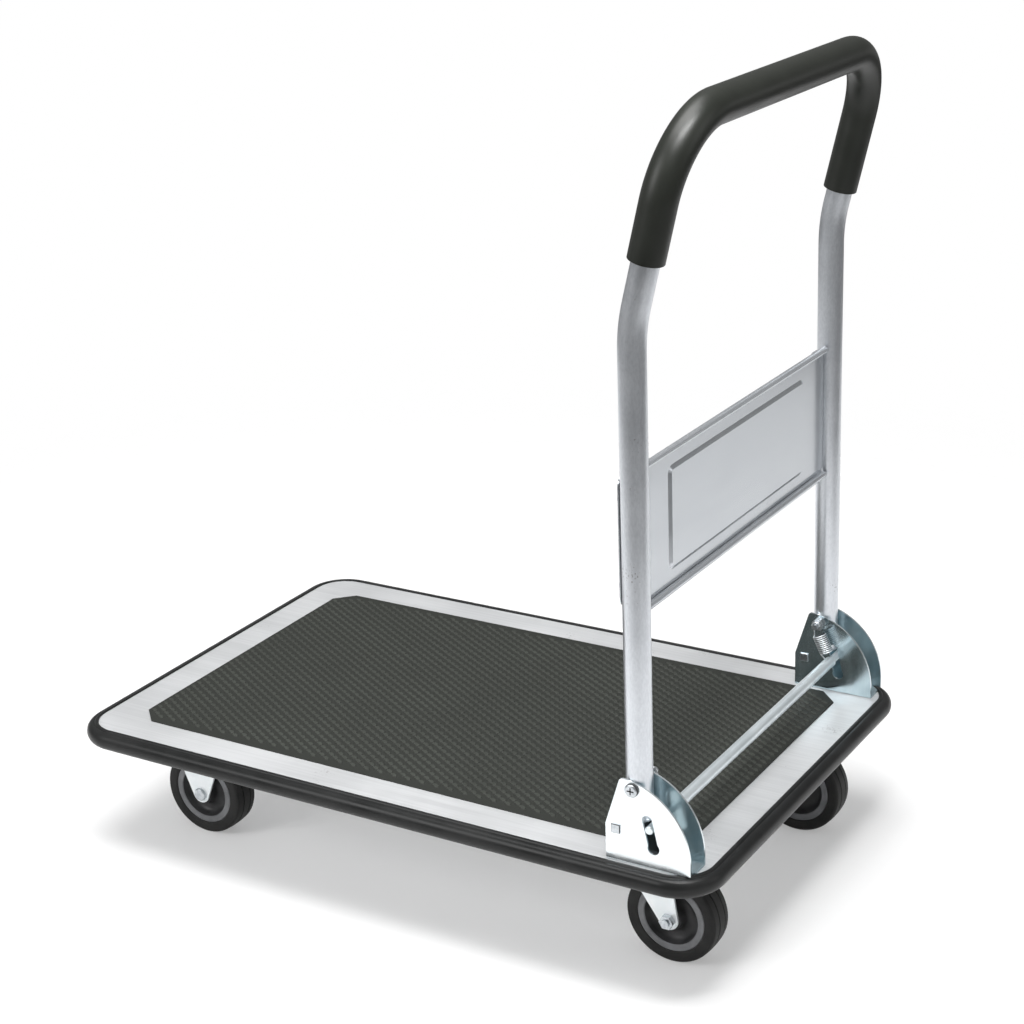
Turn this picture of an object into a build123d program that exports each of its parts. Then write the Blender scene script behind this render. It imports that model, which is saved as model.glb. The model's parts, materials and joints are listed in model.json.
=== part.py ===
from build123d import *
import os
from math import acos, atan2, cos, hypot, pi, radians, sin, sqrt

# A folding platform trolley: a pressed steel deck on four casters, with a handle that folds
# down on to the deck when the foot bar behind its feet is pressed.
# Frame: +Z up from the floor, +X towards the handle end, +Y to the right of whoever pushes it.
# All sizes are in millimetres.

# Deck pan and what hangs under it
deck_length = 740.0
deck_width = 480.0
deck_sheet = 1.2
deck_skirt = 21.2
deck_corner_radius = 35.5
deck_edge_radius = 2.5
channel_depth = 10.0
channel_sheet = 2.0
channel_margin = 3.0
channel_end_gap = 2.0

# Bumper extrusion round the deck's edge
bumper_proud = 11.5
bumper_height = 19.7
bumper_nose_drop = 9.4
bumper_lip = 1.5
bumper_lip_height = 1.4
bumper_groove_out = 2.8
bumper_groove_half = 0.7
bumper_groove_depth = 0.8
bumper_foot = 1.2

# Anti-slip mat
mat_thickness = 2.0
mat_end_border = 39.5
mat_side_border = 39.5
mat_chamfer = 20.0

# Casters
wheel_radius = 47.5
wheel_width = 30.0
tyre_groove_width = 1.4
tyre_groove_depth = 1.2
tyre_groove_pitch = 11.0
tyre_shoulder = 3.0
rim_radius = 35.3
rim_wall = 7.2
rim_inset = 0.8
core_web = 7.0
hub_radius = 12.0
hub_bush_radius = 6.0
hub_end_play = 0.5
hub_length = 32.0
axle_radius = 4.0
axle_head_radius = 7.0
axle_head_height = 3.0
axle_nut_flats = 13.0
axle_nut_height = 6.0
axle_thread_end = 2.0
fork_sheet = 2.5
fork_foot_radius = 10.0
tyre_to_crown = 20.6
crown_radius = 29.5
swivel_trail = 30.0
race_radius = 20.0
race_ball = 4.4
race_play = 0.15
race_ball_count = 14
kingpin_radius = 6.0
kingpin_head_radius = 10.0
kingpin_head_height = 3.0
kingpin_collar_radius = 11.0
kingpin_collar_height = 4.0
kingpin_hole_margin = 1.0
plate_length = 95.0
plate_width = 76.0
plate_sheet = 2.5
plate_corner_radius = 6.0
plate_hole_length = 75.0
plate_hole_width = 56.0
rigid_leg_top = 82.0
front_caster_inset = 95.5
rear_caster_inset = 93.5
caster_side_inset = 84.0
caster_bolt_radius = 4.0
caster_bolt_flats = 13.0
caster_bolt_head = 5.3
caster_nut_height = 5.0
caster_bolt_end = 1.0

# Handle
tube_radius = 12.5
tube_wall = 1.2
handle_setback = 66.5
pivot_height = 76.0
bend_height = 499.0
top_height = 674.0
handle_lean = 14.0
bend_radius = 170.0
corner_radius = 70.0
grip_radius = 16.4
grip_leg = 132.5
grip_shift = 12.9
grip_end_round = 2.0
bush_radius = 5.0
bush_end_play = 0.2

# Cross panel
panel_sheet = 1.2
panel_bottom = 237.4
panel_top = 376.2
panel_web_setback = 0.8
panel_curl_radius = 3.6
panel_curl_sweep = 300.0
panel_curl_end_gap = 1.5
panel_tube_gap = 0.3
panel_flange_height = 120.0
panel_flange_reach = 5.5
panel_flange_round = 8.0
panel_raise_border_side = 50.0
panel_raise_border_end = 20.0
panel_raise_step = 2.0
panel_raise_round = 8.0
panel_raise_taper = 63.0
rivet_radius = 2.0
rivet_head_radius = 4.0
rivet_head_height = 1.5
rivet_tail = 3.0
rivet_pitch = 80.0

# Hinge brackets, stop bars and pivots
bracket_sheet = 2.0
bracket_gap = 26.0
bracket_length = 85.5
bracket_rear_inset = 9.0
bracket_side_inset = 4.2
bracket_front_height = 36.5
bracket_arc_radius = 73.0
bracket_arc_height = 12.5
bracket_top_angle = 87.5
bracket_top_round = 4.0
bracket_bend_radius = 1.8
bracket_bolt_spread = 54.0
bracket_bolt_radius = 3.0
bracket_bolt_head_radius = 5.5
bracket_bolt_head = 3.3
bracket_nut_flats = 10.0
bracket_nut_height = 5.0
bracket_bolt_end = 1.0
bracket_rim_gap = 0.3
stop_width = 9.0
stop_height = 33.5
stop_proud = 1.6
stop_chamfer = 0.6
pivot_bolt_radius = 3.0
pivot_head_radius = 6.5
pivot_head_height = 3.6
pivot_head_round = 2.0
pivot_recess_width = 1.3
pivot_recess_depth = 1.8
pivot_recess_length = 7.0
pivot_washer_radius = 6.25
pivot_washer = 1.2
pivot_nut_flats = 10.0
pivot_nut_height = 5.0
pivot_jam_nut_height = 2.6
pivot_thread_end = 3.5

# Foot bar that locks the handle, and its springs
release_height = 39.5
release_radius = 5.75
release_neck_radius = 4.0
release_travel = 18.4
release_lean = 12.5
release_end_proud = 1.2
release_end_chamfer = 0.6
slot_headroom = 9.2
slot_clearance = 1.0
slot_foot_radius = 6.0
spring_wire = 1.5
spring_mean_radius = 6.5
spring_turns = 10
spring_pitch = 2.05
spring_hook_clearance = 0.3
spring_hook_start = 70.0
spring_hook_steps = 4
spring_side_gap = 0.3

# Clearances
running_clearance = 0.05
seat_clearance = 0.02
bolt_clearance = 0.25
lock_gap = 0.2
foot_clearance = 0.4

# Places that follow from the sizes above
SIDES = {"left": -1, "right": 1}
race_gap = race_ball + 2 * race_play
crown_underside = 2 * wheel_radius + tyre_to_crown
crown_top = crown_underside + fork_sheet
plate_underside = crown_top + race_gap
plate_top = plate_underside + plate_sheet
deck_underside = plate_top + channel_depth
deck_top = deck_underside + deck_sheet
deck_half_length = deck_length / 2 - bumper_proud
deck_half_width = deck_width / 2 - bumper_proud
channel_width = plate_length + 2 * channel_margin

front_caster_x = -deck_half_length + front_caster_inset
swivel_x = deck_half_length - rear_caster_inset
caster_y = deck_half_width - caster_side_inset
fork_gap = hub_length + 2 * hub_end_play
fork_width = fork_gap + 2 * fork_sheet

bracket_width = bracket_gap + 2 * bracket_sheet
bracket_rear = deck_half_length - bracket_rear_inset
bracket_front = bracket_rear - bracket_length
bracket_outer = deck_half_width - bracket_side_inset
bracket_inner = bracket_outer - bracket_width
handle_x = deck_half_length - handle_setback
handle_y = bracket_outer - bracket_width / 2
pivot_z = deck_top + pivot_height

release_x = handle_x + tube_radius + release_neck_radius + lock_gap
release_z = deck_top + release_height
slot_way = (sin(radians(release_lean)), -cos(radians(release_lean)))
foot_reach = hypot(release_x - handle_x, pivot_z - release_z) - release_neck_radius - foot_clearance
foot_drop = sqrt(foot_reach**2 - tube_radius**2)

pivot_stack = 2 * pivot_washer + pivot_nut_height + pivot_jam_nut_height
spring_y = bracket_inner - pivot_stack - spring_side_gap - spring_wire / 2
pivot_end = spring_y - spring_wire / 2 - pivot_thread_end
release_shoulder = spring_y - spring_wire / 2 - spring_side_gap

os.makedirs("parts", exist_ok=True)


def keep(piece, name):
    piece.part.label = name
    export_step(piece.part, f"parts/{name}.step")


def facing_side(y):
    """A plane square to Y at that y, drawn in X and Z, which extrudes towards -Y."""
    return Plane.XZ.offset(-y)


# Deck: one sheet pressed into a shallow pan, open underneath, with holes for the bracket bolts.
bracket_bolt_x = (bracket_front + bracket_rear) / 2
bracket_bolt_places = [
    (bracket_bolt_x + end * bracket_bolt_spread / 2, side * handle_y)
    for end in (-1, 1)
    for side in SIDES.values()
]
with BuildPart() as deck:
    with BuildSketch(Plane.XY.offset(deck_top - deck_skirt)):
        RectangleRounded(2 * deck_half_length, 2 * deck_half_width, deck_corner_radius)
    extrude(amount=deck_skirt)
    fillet(deck.faces().sort_by(Axis.Z)[-1].edges(), deck_edge_radius)
    offset(amount=-deck_sheet, openings=deck.faces().sort_by(Axis.Z)[0])
    with BuildSketch(Plane.XY.offset(deck_underside)):
        with Locations(*bracket_bolt_places):
            Circle(bracket_bolt_radius + bolt_clearance)
    extrude(amount=deck_sheet, mode=Mode.SUBTRACT)
keep(deck, "deck")

# Cross channels: open-topped pressings welded under the deck, one above each pair of casters.
# The rear one has holes that clear the kingpins' heads.
for name, channel_x in (("front_cross_channel", front_caster_x), ("rear_cross_channel", swivel_x)):
    with BuildPart() as channel:
        with BuildSketch(Plane.XY.offset(plate_top)):
            with Locations((channel_x, 0)):
                Rectangle(channel_width, 2 * (deck_half_width - deck_sheet - channel_end_gap))
        extrude(amount=channel_depth)
        with BuildSketch(Plane.XY.offset(plate_top + channel_sheet)):
            with Locations((channel_x, 0)):
                Rectangle(channel_width - 2 * channel_sheet, 2 * deck_half_width)
        extrude(amount=channel_depth, mode=Mode.SUBTRACT)
        with BuildSketch(Plane.XY.offset(plate_top)):
            with Locations((channel_x, -caster_y), (channel_x, caster_y)):
                with GridLocations(plate_hole_length, plate_hole_width, 2, 2):
                    Circle(caster_bolt_radius + bolt_clearance)
                if channel_x == swivel_x:
                    Circle(kingpin_head_radius + kingpin_hole_margin)
        extrude(amount=channel_sheet, mode=Mode.SUBTRACT)
    keep(channel, name)

# Anti-slip mat, stuck to the deck, with its corners cut off.
with BuildPart() as mat:
    with BuildSketch(Plane.XY.offset(deck_top)) as mat_outline:
        Rectangle(2 * (deck_half_length - mat_end_border), 2 * (deck_half_width - mat_side_border))
        chamfer(mat_outline.vertices(), mat_chamfer)
    extrude(amount=mat_thickness)
keep(mat, "anti_slip_mat")

# Bumper: an extrusion with a lip over the deck's edge, a fine groove and a half-round nose.
with BuildPart() as bumper:
    with BuildLine():
        FilletPolyline(
            (deck_half_length, 0, deck_top),
            (deck_half_length, deck_half_width, deck_top),
            (-deck_half_length, deck_half_width, deck_top),
            (-deck_half_length, -deck_half_width, deck_top),
            (deck_half_length, -deck_half_width, deck_top),
            (deck_half_length, 0, deck_top),
            radius=[0] + 4 * [deck_corner_radius],
        )
    with BuildSketch(Plane((deck_half_length, 0, deck_top), x_dir=(1, 0, 0), z_dir=(0, -1, 0))):
        with BuildLine():
            lip_edge = (-bumper_lip, bumper_lip_height / 2)
            bead_end = (bumper_groove_out - bumper_groove_half, bumper_lip_height / 2)
            groove_end = (bumper_groove_out + bumper_groove_half, 0)
            nose = (bumper_proud, -bumper_nose_drop)
            nose_foot = (bumper_foot, -bumper_height)
            ThreePointArc(lip_edge, (0, bumper_lip_height), bead_end)
            Polyline(bead_end, (bumper_groove_out, bumper_lip_height / 2 - bumper_groove_depth), groove_end)
            TangentArc(nose, groove_end, tangent=(0, 1))
            TangentArc(nose, nose_foot, tangent=(0, -1))
            Polyline(nose_foot, (0, -bumper_height), (0, 0), (-bumper_lip, 0), lip_edge)
        make_face()
    sweep()
keep(bumper, "bumper")

# Hinge brackets: sheet channels with the pivot hole, the stop bar's square hole and the
# bar's slot through both side plates.
arc_x = bracket_rear - bracket_arc_radius
arc_z = deck_top + bracket_arc_height
top_angle = radians(bracket_top_angle)
mid_angle = top_angle / 2
bracket_peak = (arc_x + bracket_arc_radius * cos(top_angle), arc_z + bracket_arc_radius * sin(top_angle))
bracket_back = (arc_x + bracket_arc_radius * cos(mid_angle), arc_z + bracket_arc_radius * sin(mid_angle))
slot_top = (release_x - slot_headroom * slot_way[0], release_z - slot_headroom * slot_way[1])
slot_bottom = (release_x + release_travel * slot_way[0], release_z + release_travel * slot_way[1])
slot_middle = ((slot_top[0] + slot_bottom[0]) / 2, (slot_top[1] + slot_bottom[1]) / 2)
stop_x = handle_x - tube_radius - lock_gap - stop_width / 2
stop_z = deck_top + stop_height
for side_name, side in SIDES.items():
    with BuildPart() as bracket:
        with BuildSketch(facing_side(side * handle_y)) as plate_outline:
            with BuildLine():
                Polyline(
                    (bracket_rear, arc_z),
                    (bracket_rear, deck_top),
                    (bracket_front, deck_top),
                    (bracket_front, deck_top + bracket_front_height),
                    bracket_peak,
                )
                ThreePointArc(bracket_peak, bracket_back, (bracket_rear, arc_z))
            make_face()
            fillet(plate_outline.vertices().sort_by(Axis.Y)[-1], bracket_top_round)
        extrude(amount=bracket_width / 2, both=True)
        fillet(bracket.edges().filter_by(Axis.X).group_by(Axis.Z)[0], bracket_bend_radius)
        with BuildSketch(Plane.XY.offset(deck_top + bracket_sheet)):
            with Locations(((bracket_front + bracket_rear) / 2, side * handle_y)):
                Rectangle(2 * bracket_length, bracket_gap)
        extrude(amount=bracket_arc_height + bracket_arc_radius, mode=Mode.SUBTRACT)
        with BuildSketch(facing_side(side * handle_y)):
            with Locations((handle_x, pivot_z)):
                Circle(pivot_bolt_radius + running_clearance)
            with Locations((stop_x, stop_z)):
                Rectangle(stop_width + 2 * seat_clearance, stop_width + 2 * seat_clearance)
            with Locations(slot_middle):
                SlotCenterToCenter(
                    slot_headroom + release_travel,
                    2 * (release_neck_radius + slot_clearance),
                    rotation=90 + release_lean,
                )
            with Locations(slot_bottom):
                Circle(slot_foot_radius)
        extrude(amount=bracket_width, both=True, mode=Mode.SUBTRACT)
        # The base's outer corner is cut away where the bumper's lip rounds the deck's corner.
        with BuildSketch(Plane.XY.offset(deck_top)):
            Rectangle(deck_length, deck_width)
            RectangleRounded(
                2 * (deck_half_length - bumper_lip - bracket_rim_gap),
                2 * (deck_half_width - bumper_lip - bracket_rim_gap),
                deck_corner_radius - bumper_lip - bracket_rim_gap,
                mode=Mode.SUBTRACT,
            )
        extrude(amount=bracket_sheet, mode=Mode.SUBTRACT)
        with BuildSketch(Plane.XY.offset(deck_top)):
            with Locations(*[place for place in bracket_bolt_places if place[1] * side > 0]):
                Circle(bracket_bolt_radius + bolt_clearance)
        extrude(amount=bracket_sheet, mode=Mode.SUBTRACT)
    keep(bracket, f"{side_name}_hinge_bracket")

    # Stop bar: a square bar through both plates, in front of the handle's foot.
    with BuildPart() as stop_bar:
        with BuildSketch(facing_side(side * handle_y)):
            with Locations((stop_x, stop_z)):
                Rectangle(stop_width, stop_width)
        extrude(amount=bracket_width / 2 + stop_proud, both=True)
        chamfer(stop_bar.faces().sort_by(Axis.Y)[0].edges(), stop_chamfer)
        chamfer(stop_bar.faces().sort_by(Axis.Y)[-1].edges(), stop_chamfer)
    keep(stop_bar, f"{side_name}_stop_bar")

# Bracket bolts, round heads inside the channels, with their nuts under the deck.
bracket_bolt_tip = deck_underside - bracket_nut_height - bracket_bolt_end
with BuildPart() as bracket_bolts:
    with BuildSketch(Plane.XY.offset(deck_top + bracket_sheet)):
        with Locations(*bracket_bolt_places):
            Circle(bracket_bolt_head_radius)
    extrude(amount=bracket_bolt_head)
    with BuildSketch(Plane.XY.offset(bracket_bolt_tip)):
        with Locations(*bracket_bolt_places):
            Circle(bracket_bolt_radius)
    extrude(amount=deck_top + bracket_sheet - bracket_bolt_tip)
keep(bracket_bolts, "bracket_bolts")

with BuildPart() as bracket_nuts:
    with BuildSketch(Plane.XY.offset(deck_underside - bracket_nut_height)):
        with Locations(*bracket_bolt_places):
            RegularPolygon(bracket_nut_flats / 2, 6, major_radius=False)
            Circle(bracket_bolt_radius + seat_clearance, mode=Mode.SUBTRACT)
    extrude(amount=bracket_nut_height)
keep(bracket_nuts, "bracket_nuts")

# Pivot bolts: pan heads with a cross recess outside, a long thread inside that also holds
# the spring's upper hook.
for side_name, side in SIDES.items():
    with BuildPart() as pivot_bolt:
        with BuildSketch(facing_side(side * (bracket_outer + pivot_head_height / 2))):
            with Locations((handle_x, pivot_z)):
                Circle(pivot_head_radius)
        extrude(amount=pivot_head_height / 2, both=True)
        fillet(pivot_bolt.faces().sort_by(Axis((0, 0, 0), (0, side, 0)))[-1].edges(), pivot_head_round)
        with BuildSketch(facing_side(side * (bracket_outer + pivot_end) / 2)):
            with Locations((handle_x, pivot_z)):
                Circle(pivot_bolt_radius)
        extrude(amount=(bracket_outer - pivot_end) / 2, both=True)
        with BuildSketch(facing_side(side * (bracket_outer + pivot_head_height))):
            with Locations((handle_x, pivot_z)):
                Rectangle(pivot_recess_length, pivot_recess_width)
                Rectangle(pivot_recess_width, pivot_recess_length)
        extrude(amount=pivot_recess_depth, both=True, mode=Mode.SUBTRACT)
    keep(pivot_bolt, f"{side_name}_pivot_bolt")

# Washers and nuts stacked on the pivot bolts' inner ends.
with BuildPart() as pivot_washers:
    for side in SIDES.values():
        for seat in (0, pivot_washer + pivot_nut_height):
            with BuildSketch(facing_side(side * (bracket_inner - seat - pivot_washer / 2))):
                with Locations((handle_x, pivot_z)):
                    Circle(pivot_washer_radius)
                    Circle(pivot_bolt_radius + running_clearance, mode=Mode.SUBTRACT)
            extrude(amount=pivot_washer / 2, both=True)
keep(pivot_washers, "pivot_washers")

with BuildPart() as pivot_nuts:
    for side in SIDES.values():
        jam_seat = 2 * pivot_washer + pivot_nut_height
        for seat, height in ((pivot_washer, pivot_nut_height), (jam_seat, pivot_jam_nut_height)):
            with BuildSketch(facing_side(side * (bracket_inner - seat - height / 2))):
                with Locations((handle_x, pivot_z)):
                    RegularPolygon(pivot_nut_flats / 2, 6, major_radius=False)
                    Circle(pivot_bolt_radius + seat_clearance, mode=Mode.SUBTRACT)
            extrude(amount=height / 2, both=True)
keep(pivot_nuts, "pivot_nuts")

# Release bar: a round bar between the brackets, with thinner ends in their slots.
with BuildPart() as release_bar:
    with BuildSketch(facing_side(0)):
        with Locations((release_x, release_z)):
            Circle(release_radius)
    extrude(amount=release_shoulder, both=True)
    with BuildSketch(facing_side(0)):
        with Locations((release_x, release_z)):
            Circle(release_neck_radius)
    extrude(amount=bracket_outer + release_end_proud, both=True)
    chamfer(release_bar.faces().sort_by(Axis.Y)[0].edges(), release_end_chamfer)
    chamfer(release_bar.faces().sort_by(Axis.Y)[-1].edges(), release_end_chamfer)
keep(release_bar, "release_bar")


# Return springs: each one unbroken wire, a hook over the pivot bolt, the coil, and a hook
# round the bar's neck.
def spring_knots(side):
    """Points and directions along the wire, a quarter turn apart."""
    origin = Vector(handle_x, side * spring_y, pivot_z)
    along = Vector(release_x - handle_x, 0, release_z - pivot_z)
    span = along.length
    along = along.normalized()
    across = Vector(-along.Z, 0, along.X)
    coil_length = spring_turns * spring_pitch
    coil_start = (span - coil_length) / 2
    top_hook = pivot_bolt_radius + spring_wire / 2 + spring_hook_clearance
    low_hook = release_neck_radius + spring_wire / 2 + spring_hook_clearance
    hook_step = (360 - 2 * spring_hook_start) / spring_hook_steps
    angles = [radians(spring_hook_start + step * hook_step) for step in range(spring_hook_steps + 1)]
    knots = []
    for angle in angles:
        place = origin + (along * cos(angle) + across * sin(angle)) * top_hook
        knots.append((place, along * -sin(angle) + across * cos(angle)))
    for quarter in range(4 * spring_turns + 1):
        turn = pi + quarter * pi / 2
        outward_way = across * cos(turn) + Vector(0, 1, 0) * sin(turn)
        round_way = across * -sin(turn) + Vector(0, 1, 0) * cos(turn)
        climb = coil_start + quarter * spring_pitch / 4
        place = origin + along * climb + outward_way * spring_mean_radius
        way = along * (spring_pitch / (2 * pi)) + round_way * spring_mean_radius
        knots.append((place, way.normalized()))
    for angle in reversed(angles):
        place = origin + along * (span - low_hook * cos(angle)) + across * (low_hook * sin(angle))
        knots.append((place, along * -sin(angle) - across * cos(angle)))
    return knots


def biarc_middle(start, start_way, end, end_way):
    """Where two arcs, tangent to the given ways at their ends, meet smoothly."""
    chord = end - start
    ways = start_way + end_way
    spread = 2 * (1 - start_way.dot(end_way))
    lean = chord.dot(ways)
    reach = (-lean + sqrt(lean**2 + spread * chord.dot(chord))) / spread
    first, second = start + start_way * reach, end - end_way * reach
    return (first + second) * 0.5, (second - first).normalized()


def least_gap(wire, diameter, samples):
    """The smallest space between two turns of the wire, from points along it."""
    points = [wire @ (i / samples) for i in range(samples + 1)]
    near = int(pi * diameter / (wire.length / samples)) + 1
    gaps = [(points[i] - points[j]).length for i in range(samples) for j in range(i + near, samples + 1)]
    return min(gaps) - diameter


gap_samples = 700
for side_name, side in SIDES.items():
    with BuildPart() as spring:
        with BuildLine() as spring_path:
            knots = spring_knots(side)
            for (start, start_way), (end, end_way) in zip(knots, knots[1:]):
                middle, middle_way = biarc_middle(start, start_way, end, end_way)
                TangentArc(start, middle, tangent=start_way)
                TangentArc(middle, end, tangent=middle_way)
        with BuildSketch(Plane(knots[0][0], z_dir=knots[0][1])):
            Circle(spring_wire / 2)
        sweep()
    spring_wire_path = spring_path.wire()
    wire_volume = pi * (spring_wire / 2) ** 2 * spring_wire_path.length
    print(
        f"{side_name} spring: least gap {least_gap(spring_wire_path, spring_wire, gap_samples):.2f} mm,",
        f"volume over section times length {spring.part.volume / wire_volume:.4f}",
    )
    keep(spring, f"{side_name}_spring")

# Handle: one tube, bent back above the panel and across the top. Its feet stop just short of
# the bar's reach round the pivots.
lean_way = (sin(radians(handle_lean)), cos(radians(handle_lean)))
leg_length = (top_height - bend_height) / lean_way[1]


def handle_point(side, rise):
    """A point on the tube's axis, that far up the leaning part of one leg."""
    return (handle_x + rise * lean_way[0], side * handle_y, deck_top + bend_height + rise * lean_way[1])


rivet_places = [
    (side * handle_y, deck_top + (panel_bottom + panel_top) / 2 + end * rivet_pitch / 2)
    for side in SIDES.values()
    for end in (-1, 1)
]
with BuildPart() as handle_tube:
    with BuildLine() as handle_path:
        FilletPolyline(
            (handle_x, -handle_y, pivot_z - foot_drop),
            handle_point(-1, 0),
            handle_point(-1, leg_length),
            handle_point(1, leg_length),
            handle_point(1, 0),
            (handle_x, handle_y, pivot_z - foot_drop),
            radius=[bend_radius, corner_radius, corner_radius, bend_radius],
        )
    with BuildSketch(Plane((handle_x, -handle_y, pivot_z - foot_drop))):
        Circle(tube_radius)
        Circle(tube_radius - tube_wall, mode=Mode.SUBTRACT)
    sweep()
    with BuildSketch(facing_side(0)):
        with Locations((handle_x, pivot_z)):
            Circle(bush_radius + seat_clearance)
    extrude(amount=handle_y + 2 * tube_radius, both=True, mode=Mode.SUBTRACT)
    with BuildSketch(Plane.YZ.offset(handle_x)):
        with Locations(*rivet_places):
            Circle(rivet_radius + seat_clearance)
    extrude(amount=-2 * tube_radius, mode=Mode.SUBTRACT)
keep(handle_tube, "handle_tube")

# Pivot bushes: steel sleeves through the feet, which turn on the pivot bolts.
with BuildPart() as pivot_bushes:
    for side in SIDES.values():
        with BuildSketch(facing_side(side * handle_y)):
            with Locations((handle_x, pivot_z)):
                Circle(bush_radius)
                Circle(pivot_bolt_radius + running_clearance, mode=Mode.SUBTRACT)
        extrude(amount=bracket_gap / 2 - bush_end_play, both=True)
keep(pivot_bushes, "pivot_bushes")

# Grip: a sleeve over the top bar and both corners, pushed on a little off centre.
with BuildPart() as grip:
    with BuildLine() as grip_path:
        FilletPolyline(
            handle_point(-1, leg_length - grip_leg + grip_shift),
            handle_point(-1, leg_length),
            handle_point(1, leg_length),
            handle_point(1, leg_length - grip_leg - grip_shift),
            radius=corner_radius,
        )
    with BuildSketch(Plane(grip_path.line @ 0, z_dir=grip_path.line % 0)):
        Circle(grip_radius)
        Circle(tube_radius + seat_clearance, mode=Mode.SUBTRACT)
    sweep()
    rims = grip.edges().filter_by(GeomType.CIRCLE).filter_by(lambda edge: edge.is_closed)
    outer_rims = rims.group_by(lambda edge: edge.radius, tol_digits=3)[-1].sort_by(Axis.Z)
    fillet(outer_rims[:2], grip_end_round)
keep(grip, "grip")

# Cross panel: a sheet set between the legs, stepped forward at both ends to lie on the front
# of the tubes, with its long edges curled to the rear and a rectangle raised to the rear.
web_rear = handle_x - panel_web_setback
web_front = web_rear - panel_sheet
flange_rear = handle_x - tube_radius - seat_clearance
flange_front = flange_rear - panel_sheet
step_outer = handle_y - tube_radius - panel_tube_gap
step_inner = step_outer - panel_sheet
flange_end = handle_y + panel_flange_reach
panel_middle = deck_top + (panel_bottom + panel_top) / 2
panel_height = panel_top - panel_bottom
curl_x = web_front + panel_curl_radius
curl_end = step_inner - panel_curl_end_gap
with BuildPart() as cross_panel:
    with BuildSketch(Plane.XY.offset(panel_middle)):
        with BuildLine():
            Polyline(
                (web_rear, -step_outer),
                (web_rear, step_outer),
                (flange_rear, step_outer),
                (flange_rear, flange_end),
                (flange_front, flange_end),
                (flange_front, step_inner),
                (web_front, step_inner),
                (web_front, -step_inner),
                (flange_front, -step_inner),
                (flange_front, -flange_end),
                (flange_rear, -flange_end),
                (flange_rear, -step_outer),
                close=True,
            )
        make_face()
    extrude(amount=panel_flange_height / 2, both=True)
    crosswise_edges = cross_panel.edges().filter_by(Axis.X)
    fillet(crosswise_edges.filter_by(lambda edge: abs(edge.center().Y) > handle_y), panel_flange_round)
    with BuildSketch(Plane.YZ.offset(web_front)):
        with Locations((0, panel_middle)):
            Rectangle(2 * curl_end, panel_height - 2 * panel_curl_radius)
    extrude(amount=panel_sheet)
    for end in (-1, 1):
        curl_z = panel_middle + end * (panel_height / 2 - panel_curl_radius)
        outer, inner = panel_curl_radius, panel_curl_radius - panel_sheet
        sweep_end = 180 - panel_curl_sweep

        turn_middle = (180 + sweep_end) / 2
        outside, inside = (
            [
                (curl_x + radius * cos(radians(angle)), curl_z + end * radius * sin(radians(angle)))
                for angle in (180, turn_middle, sweep_end)
            ]
            for radius in (outer, inner)
        )
        with BuildSketch(facing_side(0)):
            with BuildLine():
                ThreePointArc(*outside)
                Line(outside[-1], inside[-1])
                ThreePointArc(*inside)
                Line(inside[0], outside[0])
            make_face()
        extrude(amount=curl_end, both=True)
    raised_length = 2 * (step_inner - panel_raise_border_side)
    raised_height = panel_height - 2 * panel_raise_border_end
    with BuildSketch(Plane.YZ.offset(web_rear)):
        with Locations((0, panel_middle)):
            RectangleRounded(raised_length, raised_height, panel_raise_round)
    extrude(amount=panel_raise_step, taper=panel_raise_taper)
    with BuildSketch(Plane.YZ.offset(web_front)):
        with Locations((0, panel_middle)):
            RectangleRounded(raised_length - panel_sheet, raised_height - panel_sheet, panel_raise_round)
    extrude(amount=panel_raise_step, taper=panel_raise_taper, mode=Mode.SUBTRACT)
    with BuildSketch(Plane.YZ.offset(flange_rear)):
        with Locations(*rivet_places):
            Circle(rivet_radius + seat_clearance)
    extrude(amount=-panel_sheet, mode=Mode.SUBTRACT)
keep(cross_panel, "cross_panel")

# Panel rivets, set from the front through the flanges into the tubes.
with BuildPart() as panel_rivets:
    with BuildSketch(Plane.YZ.offset(flange_front)):
        with Locations(*rivet_places):
            Circle(rivet_radius)
    extrude(amount=panel_sheet + tube_wall + rivet_tail)
    with BuildSketch(Plane.YZ.offset(flange_front)):
        with Locations(*rivet_places):
            Circle(rivet_head_radius)
    extrude(amount=-rivet_head_height)
    head_faces = panel_rivets.faces().filter_by(Axis.X).group_by(Axis.X)[0]
    fillet(head_faces.edges(), rivet_head_height / 2)
keep(panel_rivets, "panel_rivets")


# Casters. A fork's leg is a plate that narrows from its top to a round foot at the axle.
def tangent_point(centre, radius, corner, turn):
    """Where the line from a corner touches a circle, on the side that turn gives."""
    dx, dz = corner[0] - centre[0], corner[1] - centre[1]
    angle = atan2(dz, dx) + turn * acos(radius / hypot(dx, dz))
    return (centre[0] + radius * cos(angle), centre[1] + radius * sin(angle))


def leg_face(axle_x, top_front, top_rear, top_z):
    """The outline of a leg, with its axle hole, in the sketch that is open."""
    axle = (axle_x, wheel_radius)
    front_corner, rear_corner = (top_front, top_z), (top_rear, top_z)
    front_touch = tangent_point(axle, fork_foot_radius, front_corner, 1)
    rear_touch = tangent_point(axle, fork_foot_radius, rear_corner, -1)
    with BuildLine() as outline:
        ThreePointArc(front_touch, (axle_x, wheel_radius - fork_foot_radius), rear_touch)
        Polyline(rear_touch, rear_corner, front_corner, front_touch)
    make_face(outline.edges())
    with Locations(axle):
        Circle(axle_radius + seat_clearance, mode=Mode.SUBTRACT)


def mounting_plate(x, y):
    """The outline of a caster's top plate with its four holes, in the sketch that is open."""
    with Locations((x, y)):
        RectangleRounded(plate_length, plate_width, plate_corner_radius)
        with GridLocations(plate_hole_length, plate_hole_width, 2, 2):
            Circle(caster_bolt_radius + bolt_clearance, mode=Mode.SUBTRACT)


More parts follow.
